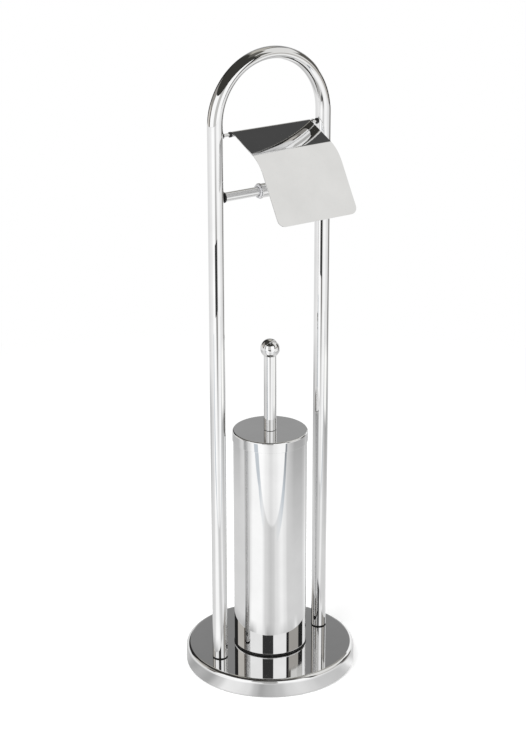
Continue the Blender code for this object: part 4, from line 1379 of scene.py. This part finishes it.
@dataclass
class RollBar:
    """Telescopic bar: a thin tube slides in a sleeve against a spring, rubber buffers at both ends."""

    z: float = middle("bar_inner_tube")
    face: float = LEG_FACE - GAP
    end: float = highest("bar_sleeve", "x")
    pin_radius: float = 0.0020
    pin_end: float = highest("bar_buffer_right", "x")
    buffer_edge: float = 0.0006
    spigot: float = 0.0060
    tube_radius: float = half("bar_inner_tube")
    wall: float = 0.0008
    tube_end: float = highest("bar_inner_tube", "x")
    sleeve_radius: float = half("bar_sleeve")
    mouth: float = lowest("bar_sleeve", "x")
    lip_radius: float = half("bar_guide_bush")
    lip_width: float = 0.0019
    lip_edge: float = 0.0008
    wire: float = 0.0006
    wire_gap: float = 0.0004
    curls: float = 8.0
    travel: float = 0.0100

    def buffer_piece(self, side: str, bore: float, body: str) -> None:
        """Make a buffer with its pin and spigot.

        Args:
            side: left or right.
            bore: bore of the tube it sits in.
            body: body it rides on.
        """
        node = f"bar_buffer_{side}"
        radius, back, low = half(node), self.end + GAP, self.end - self.spigot
        profile = [(0, self.pin_end), (self.pin_radius, self.pin_end, self.buffer_edge),
                   (self.pin_radius, self.face), (radius, self.face, self.buffer_edge),
                   (radius, back, SOFT_EDGE), (bore - GAP, back), (bore - GAP, low, ROUND_EDGE), (0, low)]
        pose = aimed((0, 0, self.z), (SIDES[side], 0, 0))
        dressed(turned(f"end_buffer_{side}", profile, Facets.SEAL, pose), BLACK_RUBBER, body, node)

    def build(self) -> None:
        """Make both halves of the bar and the spring between them."""
        pose = aimed((0, 0, self.z), RIGHT)
        tube_bore, sleeve_bore = self.tube_radius - self.wall, self.sleeve_radius - self.wall
        profile = pipe(self.tube_radius, tube_bore, -self.end, self.tube_end, FINE_EDGE, FINE_EDGE)
        thin = turned("inner_bar_tube", profile, Facets.BAR, pose)
        dressed(thin, BAR_STEEL, "bar_plunger", "bar_inner_tube")
        self.buffer_piece("left", tube_bore, "bar_plunger")
        start, seat, slim = self.tube_end + GAP, highest("bar_piston", "x"), sleeve_bore - GAP
        profile = [(0, seat), (slim, seat, SOFT_EDGE), (slim, start, SOFT_EDGE), (tube_bore - GAP, start),
                   (tube_bore - GAP, start - self.spigot, SOFT_EDGE), (0, start - self.spigot)]
        piston = turned("spring_piston", profile, Facets.SEAL, pose)
        dressed(piston, WHITE_PLASTIC, "bar_plunger", "bar_piston")
        outer, lip, lip_end = self.sleeve_radius, self.lip_radius, self.mouth + self.lip_width
        profile = [(outer, self.end, FINE_EDGE), (outer, lip_end, EDGE), (lip, lip_end, self.lip_edge),
                   (lip, self.mouth, self.lip_edge), (sleeve_bore, self.mouth, FINE_EDGE),
                   (sleeve_bore, self.end, FINE_EDGE)]
        sleeve = turned("outer_bar_sleeve", profile, Facets.BAR, pose)
        dressed(sleeve, BAR_STEEL, "roll_bar", "bar_sleeve")
        node, bore, back = "bar_guide_bush", self.tube_radius + GAP, self.mouth - GAP
        front, tip = lowest(node, "x"), highest(node, "x")
        profile = [(slim, tip, FINE_EDGE), (slim, back), (outer, back, EDGE), (outer, front, ROUND_EDGE),
                   (bore, front, EDGE), (bore, tip)]
        dressed(turned("sleeve_mouth_bush", profile, Facets.BAR, pose), GREY_PLASTIC, "roll_bar", node)
        self.buffer_piece("right", sleeve_bore, "roll_bar")
        anchor = self.end - self.spigot - GAP
        first, last = seat + GAP + self.wire, anchor - self.wire
        sizes = {"Turns": self.curls, "Coil Radius": sleeve_bore - self.wire_gap - self.wire,
                 "Length": last - first, "Wire Radius": self.wire}
        spring = coil("bar_coil_spring", sizes, {"Turn Steps": 48, "Sides": 10},
                      aimed((first, 0, self.z), RIGHT))
        dressed(spring, ZINC, "roll_bar", "bar_spring")
        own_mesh(spring)


@dataclass
class BrushHolder:
    """Drawn can on a rubber seal, screwed to the base, with a plastic liner hung in its rim."""

    radius: float = half("holder_shell")
    sheet: float = 0.0008
    bottom: float = lowest("holder_shell")
    rim: float = highest("holder_shell")
    corner: float = 0.0015
    seal_radius: float = half("holder_gasket")
    seal_width: float = 0.0120
    liner_gap: float = 0.0005
    liner_wall: float = 0.0015
    liner_corner: float = 0.0050
    liner_inner_corner: float = 0.0040
    flange: float = 0.0012
    flange_edge: float = 0.0010

    def build(self) -> None:
        """Make the can, its seal, its liner and its fixing."""
        node = "holder_gasket"
        profile = pipe(self.seal_radius, self.seal_radius - self.seal_width, lowest(node), highest(node),
                       SOFT_EDGE, EDGE)
        dressed(turned("holder_seal", profile, Facets.RING), BLACK_RUBBER, "stand", node)
        inner, floor = self.radius - self.sheet, self.bottom + self.sheet
        profile = [(self.radius, self.rim, FINE_EDGE), (self.radius, self.bottom, self.corner),
                   (CLEAR_BORE, self.bottom), (CLEAR_BORE, floor), (inner, floor, self.corner - self.sheet),
                   (inner, self.rim, FINE_EDGE)]
        dressed(turned("brush_can", profile, Facets.DRUM), TURNED_STEEL, "stand", "holder_shell")
        outer, top, bottom = inner - self.liner_gap, highest("holder_liner"), lowest("holder_liner")
        bore, floor, under = outer - self.liner_wall, bottom + self.liner_wall, top - self.flange
        profile = [(0, floor), (bore, floor, self.liner_inner_corner), (bore, top, ROUND_EDGE),
                   (self.radius - 0.0004, top, self.flange_edge), (self.radius - 0.0002, under, FINE_EDGE),
                   (outer, under, FINE_EDGE), (outer, bottom, self.liner_corner), (0, bottom)]
        dressed(turned("inner_liner", profile, Facets.RING), WHITE_PLASTIC, "stand", "holder_liner")
        SocketScrew("holder_cap_screw", "holder_screw", 0.0).build()
        HexNut("holder_hex_nut", "holder_nut", "stand").build()
        carried(ZINC, "holder_washer", "holder_inner_washer")


@dataclass
class Brush:
    """Lid with a centring insert, handle with a ball knob, and the brush on its rod."""

    lid_radius: float = half("lid")
    lid_top: float = highest("lid")
    lid_sheet: float = 0.0005
    lid_edge: float = 0.0018
    insert_wall: float = 0.0030
    insert_foot: float = 0.0010
    insert_recess: float = 0.0020
    recess_taper: float = 0.0004
    boss_root: float = 0.0110
    boss_tip: float = 0.0105
    handle_radius: float = half("handle_tube")
    handle_wall: float = 0.0010
    knob_radius: float = half("knob")
    knob_bore: float = 0.0046
    neck_share: float = 1.06
    core_bottom: float = lowest("brush_core")
    core_top: float = highest("brush_core")
    collar: float = 0.0025
    collar_edge: float = 0.0008
    neck_radius: float = 0.0090
    neck_edge: float = 0.0012
    neck_root: float = 0.0010
    neck: float = 0.0100
    stem_radius: float = 0.0065
    stem_tip_share: float = 0.98
    root_radius: float = 0.0090
    root_depth: float = 0.0008
    row_margin: float = 0.0016
    tip_radius: float = 0.0350
    barrel: float = 0.22
    fan: float = math.radians(24)
    tuft_radius: float = 0.0009
    strand_radius: float = 0.00016

    def build(self) -> None:
        """Make every piece that lifts out with the brush."""
        self.lid_set()
        self.handle_set()
        self.head_set()

    def lid_set(self) -> None:
        """Make the lid, its insert and the nut below."""
        inner, under = self.lid_radius - self.lid_sheet, self.lid_top - self.lid_sheet
        low = lowest("lid")
        profile = [(CLEAR_BORE, self.lid_top), (self.lid_radius, self.lid_top, self.lid_edge),
                   (self.lid_radius, low, FINE_EDGE), (inner, low, FINE_EDGE),
                   (inner, under, self.lid_edge - self.lid_sheet), (CLEAR_BORE, under)]
        dressed(turned("holder_lid", profile, Facets.DRUM), TURNED_STEEL, "brush", "lid")
        top, bottom, outer = highest("lid_insert"), lowest("lid_insert"), half("lid_insert")
        wall, recess = outer - self.insert_wall, bottom + self.insert_recess
        profile = [(outer, top, SOFT_EDGE), (outer, bottom, self.insert_foot), (wall, bottom, SOFT_EDGE),
                   (wall - self.recess_taper, recess, SOFT_EDGE), (self.boss_root, recess, SOFT_EDGE),
                   (self.boss_tip, bottom, SOFT_EDGE), (CLEAR_BORE, bottom), (CLEAR_BORE, top)]
        dressed(turned("centring_insert", profile, Facets.RING), WHITE_PLASTIC, "brush", "lid_insert")
        HexNut("brush_hex_nut", "brush_nut", "brush").build()

    def handle_set(self) -> None:
        """Make the handle tube and its ball knob."""
        bore = self.handle_radius - self.handle_wall
        top, bottom = highest("handle_tube"), lowest("handle_tube")
        profile = pipe(self.handle_radius, bore, bottom, top, FINE_EDGE)
        dressed(turned("handle_pipe", profile, Facets.BAR), TURNED_STEEL, "brush", "handle_tube")
        neck = self.handle_radius * self.neck_share
        neck_z = top + GAP
        centre = (0, neck_z + math.sqrt(self.knob_radius**2 - neck**2))
        seam = -math.degrees(math.acos(neck / self.knob_radius))
        ball = arc(centre, self.knob_radius, 90, seam, 48)
        ball[0] = (0, centre[1] + self.knob_radius)
        spigot, low, bore_top = bore - GAP, lowest("knob"), neck_z + self.knob_bore
        profile = ball + [(spigot, neck_z), (spigot, low, EDGE), (CLEAR_BORE, low),
                          (CLEAR_BORE, bore_top), (0, bore_top)]
        dressed(turned("ball_knob", profile, Facets.BAR), TURNED_STEEL, "brush", "knob")

    def head_set(self) -> None:
        """Make the rod, the core and the bristles."""
        low, high = lowest("brush_rod"), highest("brush_rod")
        profile = rod(half("brush_rod"), low, high, SOFT_EDGE)
        dressed(turned("pull_rod", profile, Facets.ROD), ZINC, "brush", "brush_rod")
        under_neck = self.core_top - self.neck
        under_collar = under_neck - self.collar
        socket, collar = low - GAP, half("brush_core")
        profile = [(0, socket), (CLEAR_BORE, socket), (CLEAR_BORE, self.core_top, EDGE),
                   (self.neck_radius, self.core_top, self.neck_edge),
                   (self.neck_radius, under_neck, self.neck_root), (collar, under_neck, self.collar_edge),
                   (collar, under_collar, self.collar_edge), (self.stem_radius, under_collar),
                   (self.stem_radius, self.core_bottom, self.stem_radius * self.stem_tip_share),
                   (0, self.core_bottom)]
        dressed(turned("head_core", profile, Facets.SEAL), WHITE_PLASTIC, "brush", "brush_core")
        bottom, top = self.core_bottom + self.stem_radius, under_collar - GAP
        sleeve = turned("bristle_tufts", pipe(self.root_radius, self.stem_radius + GAP, bottom, top, EDGE),
                        Facets.SEAL)
        root = self.root_radius - self.root_depth
        sizes = {"Bottom": bottom + self.row_margin, "Height": top - bottom - 2 * self.row_margin,
                 "Root Radius": root, "Reach": self.tip_radius - root, "Barrel": self.barrel,
                 "Fan": self.fan, "Tuft Radius": self.tuft_radius, "Strand Radius": self.strand_radius}
        counts = {"Rows": 20, "Columns": 24, "Strands": 12, "Seed": 11}
        dressed(joined(sleeve, bristle_tufts(sizes, counts, NYLON)), NYLON, "brush", "brush_bristles")


# The studio


@dataclass(frozen=True)
class Card:
    """One light or dark panel of the studio, as the polished steel sees it.

    Left and right are degrees from the camera's side, positive to the camera's right. Low and
    high are degrees above the horizon for a panel of the sky, metres for one on the wall.
    """

    left: float
    right: float
    low: float
    high: float
    level: float
    tint: Colour = (1.0, 1.0, 1.0)
    edge: float = 1.5

    def colour(self) -> Colour:
        """Return the panel's radiance."""
        return tuple(self.level * channel for channel in self.tint)


@dataclass(frozen=True)
class Screen:
    """One curved screen round the object, in degrees from the camera's side and metres."""

    name: str
    left: float
    right: float
    top: float
    foot: float = 0.0
    radius: float = 1.3
    panelled: bool = True


GOLD = (1.0, 0.965, 0.87)
PAPER = (1.0, 0.995, 0.975)
BEIGE = (1.0, 0.96, 0.90)
BROWN = (1.0, 0.8, 0.65)
SKY_CARDS = (
    Card(-181, 181, 33, 68, 0.56, GOLD, 5),
    Card(-181, 181, 69, 91, 0.14, GOLD, 4),
    Card(-164, 60, -20, 91, 0.050, GOLD, 9),
    Card(60, 156, 2, 66, 0.90, PAPER, 2),
    Card(56, 71, 24, 60, 0.14, GOLD, 4),
    Card(98, 156, -5, 28, 0.12, GOLD, 4),
    Card(155, 164, 30, 60, 0.077, edge=2),
)
WALL_CARDS = (
    Card(-130, -77, 0.84, 1.38, 0.36, BEIGE),
    Card(-126, -91, 0.43, 0.84, 0.70, BEIGE),
    Card(-91, -80, 0.43, 0.90, 0.10, BROWN),
    Card(-77, -24, 0.43, 1.38, 1.22),
    Card(-24, 10, 0.43, 1.38, 0.66, PAPER),
    Card(10, 53, 0.43, 1.44, 1.22),
    Card(62, 102, 0.43, 0.75, 0.52, BEIGE, 3),
    Card(127, 164, 0.43, 0.86, 1.12),
)
SCREENS = (
    Screen("front_wall", -164, 60, 1.44),
    Screen("side_wall", 60, 126, 0.75),
    Screen("right_wall", 126, 164, 0.86),
    Screen("dark_strip", -23, 9.5, 0.37, 0.265, 0.6, False),
)
# Levels by bearing of the floor as the steel mirrors it: painted light and shade. The close floor is painted
# darker, as the base's shadow; the brightest bearings are painted pools of light.
CLOSE_FLOOR_SHADE = (
    (-180, 0.60), (-90, 0.60), (-76, 0.46), (-64, 0.56), (-52, 0.47), (-42, 0.75), (-35, 1.03),
    (-26, 1.00), (-17, 0.90), (-11, 0.62), (-7, 0.47), (0, 0.55), (7, 0.64), (15, 0.82), (24, 0.89),
    (33, 0.81), (42, 0.72), (64, 0.68), (72, 0.80), (78, 1.05), (90, 0.70), (180, 0.60))
NEAR_FLOOR = (
    (-180, 0.74), (-140, 0.76), (-118, 0.80), (-100, 0.82), (-68, 0.86), (-52, 1.20), (-26, 1.20),
    (-12, 0.84), (2, 0.71), (9, 0.76), (18, 0.92), (34, 1.10), (45, 0.98), (54, 0.80), (112, 0.78),
    (124, 0.88), (136, 1.05), (152, 0.92), (180, 0.80))
FAR_FLOOR = (
    (-180, 0.80), (-125, 0.90), (-60, 1.04), (-44, 1.25), (-24, 1.25), (-10, 1.08), (2, 0.93),
    (14, 1.04), (30, 1.18), (46, 1.18), (62, 1.02), (100, 0.85), (135, 0.90), (180, 0.80))
FAR_GAP = (0.20, 0.19, 0.18)


class SurroundSketch(NodeSketch):
    """The nodes of what the steel mirrors, by bearing in degrees from the camera's side."""

    def __init__(self, owner: bpy.types.Material | bpy.types.World, near: Vector, right: Vector) -> None:
        """Empty the tree of a new material or world.

        Args:
            owner: whose tree the nodes go into.
            near: level direction to the camera.
            right: the camera's level right.
        """
        owner.use_nodes = True
        owner.node_tree.nodes.clear()
        super().__init__(owner.node_tree)
        self.near, self.right = tuple(near), tuple(right)

    def axes(self, place: Socket) -> tuple[Socket, Socket]:
        """Return how far a place lies towards the camera and to its right."""
        near, right = [self.vector("DOT_PRODUCT", place, way) for way in (self.near, self.right)]
        return near, right

    def bearing(self, place: Socket) -> Socket:
        """Return the bearing of a place or direction in degrees."""
        near, right = self.axes(place)
        return self.times(self.calc("ARCTAN2", right, near), math.degrees(1.0))

    def panels(self, seen: Socket, cards: tuple[Card, ...], bearing: Socket, height: Socket,
               edge: float | None = None) -> Socket:
        """Lay panels over what is seen.

        Args:
            seen: colour behind the panels.
            cards: the panels, those above others last.
            bearing: bearing of the place.
            height: its height in the panels' measure.
            edge: width of the upper and lower edges, the panel's own if left out.

        Returns:
            The colour with the panels.
        """
        for card in cards:
            wide = self.between(bearing, card.left, card.right, card.edge)
            tall = self.between(height, card.low, card.high, edge or card.edge)
            seen = self.blend(self.times(wide, tall), seen, card.colour())
        return seen

    def far_tone(self, bearing: Socket, ahead: Number, aside: Number) -> Socket:
        """Return what the steel mirrors of the far floor.

        Args:
            bearing: bearing of the place.
            ahead: darkness of the gap between the lights in front, 0 to 1.
            aside: darkness of the gap at the right, 0 to 1.

        Returns:
            The colour of the far floor.
        """
        front = self.times(self.between(bearing, -9, 9, 4), ahead)
        right = self.times(self.between(bearing, 104, 132, 6), aside)
        dark = self.calc("ADD", front, right, clamp=True)
        return self.blend(dark, self.profile(bearing, FAR_FLOOR), FAR_GAP)


@dataclass
class Studio:
    """White floor and surround, panels that only the steel mirrors, soft lamps and the camera."""

    camera_distance: float = 2.08022
    camera_height: float = 1.13903
    across: float = 34.71
    tilt: float = 20.50
    lens: float = 93.570
    sensor: float = 36.0
    shift_x: float = -0.0095
    floor_radius: float = 9.0
    floor_facets: int = 96
    sheet_edge: float = 0.457
    sheet_blur: float = 0.006
    even_light: float = 0.55
    floor_lift: float = 0.34
    lamp_target: float = 0.35

    def ray(self, bearing: float, rise: float = 0.0) -> Vector:
        """Return the direction at a bearing from the camera's side and a rise, in degrees."""
        turn, tilt = math.radians(bearing - self.across), math.radians(rise)
        return Vector((math.sin(turn) * math.cos(tilt), -math.cos(turn) * math.cos(tilt), math.sin(tilt)))

    def sketch(self, owner: bpy.types.Material | bpy.types.World) -> SurroundSketch:
        """Return the emptied tree of a material or world."""
        return SurroundSketch(owner, self.ray(0), self.ray(90))

    def hang(self, data: bpy.types.Camera | bpy.types.Light, place: Vector, away: Vector) -> bpy.types.Object:
        """Hang the camera or a lamp.

        Args:
            data: what is hung.
            place: where it hangs.
            away: direction opposite to the one it looks in.

        Returns:
            Its object.
        """
        obj = bpy.data.objects.new(data.name, data)
        bpy.context.scene.collection.objects.link(obj)
        obj.location = place
        obj.rotation_euler = (-away).to_track_quat("-Z", "Y").to_euler()
        return obj

    def camera(self) -> None:
        """Set the camera fitted to the photograph."""
        data = bpy.data.cameras.new("camera")
        data.lens, data.sensor_width, data.shift_x = self.lens, self.sensor, self.shift_x
        data.clip_start, data.clip_end = 0.05, 50.0
        place = self.ray(0) * self.camera_distance + Vector((0, 0, self.camera_height))
        bpy.context.scene.camera = self.hang(data, place, self.ray(0, self.tilt))

    def lamp(self, name: str, bearing: float, rise: float, distance: float, size: float,
             power: float) -> None:
        """Hang a soft lamp that no mirror shows.

        Args:
            name: name of the lamp.
            bearing: degrees from the camera's side, positive to its right.
            rise: degrees above the horizon.
            distance: metres from the object's middle.
            size: width of the lamp.
            power: its power in watts.
        """
        data = bpy.data.lights.new(name, "AREA")
        data.shape, data.size, data.energy = "DISK", size, power
        away = self.ray(bearing, rise)
        lamp = self.hang(data, Vector((0, 0, self.lamp_target)) + away * distance, away)
        lamp.visible_glossy = lamp.visible_camera = False

    def world(self) -> None:
        """Build the surround: white to the camera, panels to the steel, even light to the rest."""
        world = bpy.data.worlds.new("studio")
        bpy.context.scene.world = world
        sketch = self.sketch(world)
        direction = sketch.add("ShaderNodeTexCoord").outputs["Generated"]
        bearing = sketch.bearing(direction)
        up = sketch.times(sketch.calc("ARCSINE", sketch.split(direction, 2)), math.degrees(1.0))
        backdrop = sketch.add("ShaderNodeValToRGB", {0: sketch.calc("DIVIDE", up, 90.0)})
        stops = backdrop.color_ramp.elements
        stops[0].position, stops[0].color = 0.0, (0.48, 0.48, 0.48, 1)
        stops[1].position, stops[1].color = 0.9, (0.04, 0.04, 0.04, 1)
        for height, level in ((23, 0.365), (28, 0.265), (48, 0.077)):
            stops.new(height / 90).color = (level, level, level, 1)
        seen = sketch.panels(backdrop.outputs[0], SKY_CARDS, bearing, up)
        mirrored, even, white = [
            sketch.add("ShaderNodeBackground", {"Color": tone, "Strength": strength}).outputs[0]
            for tone, strength in ((seen, 1.0), ((1, 1, 1, 1), self.even_light), ((1, 1, 1, 1), 1.0))]
        path = sketch.add("ShaderNodeLightPath").outputs
        lit = sketch.mix(path["Is Glossy Ray"], even, mirrored)
        sketch.add("ShaderNodeOutputWorld", {0: sketch.mix(path["Is Camera Ray"], lit, white)})

    def panel_material(self) -> bpy.types.Material:
        """Return the glow of the panelled screens, with the far floor's tones at their foot."""
        material = bpy.data.materials.new("mirrored_panels")
        sketch = self.sketch(material)
        place = sketch.add("ShaderNodeTexCoord").outputs["Object"]
        bearing, height = sketch.bearing(place), sketch.split(place, 2)
        foot = sketch.far_tone(bearing, sketch.ramp(height, 0.36, 0.08, 0.25, 1.0), 1.0)
        seen = sketch.blend(sketch.ramp(height, 0.425, 0.435), foot, (0.025, 0.025, 0.025))
        seen = sketch.panels(seen, WALL_CARDS, bearing, height, 0.01)
        sketch.add("ShaderNodeOutputMaterial", {0: sketch.glow(seen)})
        return material

    def dark_material(self) -> bpy.types.Material:
        """Return the glow of the dark strip."""
        material = bpy.data.materials.new("dark_panel")
        sketch = self.sketch(material)
        sketch.add("ShaderNodeOutputMaterial", {0: sketch.glow((0.05, 0.05, 0.05, 1.0))})
        return material

    def screens(self) -> None:
        """Stand the curved screens that only the steel mirrors."""
        panels, plain = self.panel_material(), self.dark_material()
        steps = 64
        for screen in SCREENS:
            span = screen.right - screen.left
            feet = [self.ray(screen.left + span * step / steps) * screen.radius for step in range(steps + 1)]
            wall = fresh(screen.name)
            with editing(wall) as edit:
                low, high = [[edit.verts.new(foot + Vector((0, 0, height))) for foot in feet]
                             for height in (screen.foot, screen.top)]
                for step in range(steps):
                    edit.faces.new((low[step], low[step + 1], high[step + 1], high[step]))
            wall.data.materials.append(panels if screen.panelled else plain)
            wall.visible_camera = wall.visible_diffuse = wall.visible_shadow = False

    def floor_tone(self, sketch: SurroundSketch, place: Socket, distance: Socket) -> Socket:
        """Return what the steel mirrors of the floor: pale and dark sheets laid round the object.

        Args:
            sketch: the floor's nodes.
            place: place on the floor.
            distance: its distance from the object.

        Returns:
            The colour of the floor.
        """
        bearing = sketch.bearing(place)
        ahead, across = sketch.axes(place)
        bow = sketch.times(across, sketch.calc("MULTIPLY_ADD", across, -0.41, 0.131))
        ahead = sketch.calc("ADD", ahead, bow)
        # Painted shade: the mirrored floor is darker at the right beyond about 0.32 m and at the far left
        # beyond about 0.46 m.
        right_painted_shade = sketch.times(sketch.ramp(bearing, 52, 78), sketch.ramp(distance, 0.32, 0.75))
        left_painted_shade = sketch.times(sketch.ramp(bearing, -96, -110), sketch.ramp(distance, 0.46, 0.72))
        dimmed = sketch.calc("MULTIPLY_ADD", right_painted_shade, -0.40, 1.0)
        dimmed = sketch.calc("MULTIPLY_ADD", left_painted_shade, -0.26, dimmed)
        near = sketch.times(sketch.profile(bearing, NEAR_FLOOR), dimmed)
        # Close to the base the close-floor levels take over, as the base's painted shadow.
        near = sketch.blend(sketch.ramp(distance, 0.135, 0.17), sketch.profile(bearing, CLOSE_FLOOR_SHADE), near)
        depth = sketch.ramp(distance, 0.7, 1.3)
        start, end = self.sheet_edge - self.sheet_blur, self.sheet_edge + self.sheet_blur
        past = sketch.calc("MAXIMUM", sketch.ramp(ahead, start, end), sketch.ramp(distance, 0.9, 1.1))
        tone = sketch.blend(past, near, sketch.far_tone(bearing, depth, depth))
        # Painted pool of light: a bright patch to the right, about a metre out, that only the steel mirrors.
        painted_light_patch = sketch.times(sketch.between(distance, 0.80, 1.12, 0.08), sketch.between(bearing, 58, 98, 8))
        tone = sketch.blend(painted_light_patch, tone, (1.20, 1.20, 1.18))
        # Painted reflection: a blue-grey band inside the sheet's edge at both sides, turning dark further to
        # the right.
        side = sketch.ramp(sketch.calc("ABSOLUTE", across), 0.12, 0.35)
        flare = sketch.ramp(across, -0.34, -0.62, 0.0, 0.13)
        inner = sketch.between(sketch.calc("ADD", ahead, flare), self.sheet_edge - 0.07, 9.0, 0.012)
        rim = sketch.times(sketch.times(inner, sketch.ramp(ahead, start, end, 1.0, 0.0)), side)
        painted_rim_tone = sketch.blend(sketch.ramp(across, 0.36, 0.52), (0.68, 0.73, 0.78), (0.34, 0.36, 0.38))
        return sketch.blend(rim, tone, painted_rim_tone)

    def floor(self) -> None:
        """Lay the floor: a pale disc to the camera, painted sheets to the steel."""
        material = bpy.data.materials.new("pale_floor")
        sketch = self.sketch(material)
        place = sketch.add("ShaderNodeTexCoord").outputs["Object"]
        distance = sketch.vector("LENGTH", place)
        mirrored = sketch.glow(self.floor_tone(sketch, place, distance))
        pale = sketch.blend(sketch.noise(place, 3.0, 2.0), (0.86, 0.86, 0.86), (0.90, 0.90, 0.90))
        paper = sketch.add("ShaderNodeBsdfDiffuse", {"Color": pale}).outputs[0]
        lift = sketch.add("ShaderNodeEmission", {"Strength": self.floor_lift}).outputs[0]
        lit = sketch.add("ShaderNodeAddShader", {0: paper, 1: lift}).outputs[0]
        white = sketch.add("ShaderNodeEmission").outputs[0]
        lit = sketch.mix(sketch.ramp(distance, 0.25, 1.20), lit, white)
        path = sketch.add("ShaderNodeLightPath").outputs
        shown = sketch.mix(path["Is Camera Ray"], paper, lit)
        sketch.add("ShaderNodeOutputMaterial", {0: sketch.mix(path["Is Glossy Ray"], shown, mirrored)})
        floor = fresh("studio_floor")
        with editing(floor) as edit:
            bmesh.ops.create_circle(edit, cap_ends=True, segments=self.floor_facets,
                                    radius=self.floor_radius)
        floor.data.materials.append(material)

    def build(self) -> None:
        """Set camera, surround, floor, screens and lamps."""
        bpy.context.scene.view_settings.view_transform = "Standard"
        self.camera()
        self.world()
        self.floor()
        self.screens()
        self.lamp("key_lamp", -40, 50, 2.4, 1.6, 38)
        self.lamp("fill_lamp", 55, 35, 2.6, 1.6, 16)
        log.info("studio with %d panels", len(SKY_CARDS) + len(WALL_CARDS))


def main() -> None:
    """Build every sub-assembly and the studio round it."""
    logging.basicConfig(level=logging.INFO, format="%(name)s: %(message)s")
    for part in (StandBase(), FrameTube(), RollCover(), RollBar(), BrushHolder(), Brush(), Studio()):
        log.info("%s", type(part).__doc__)
        part.build()


if __name__ == "__main__":
    main()
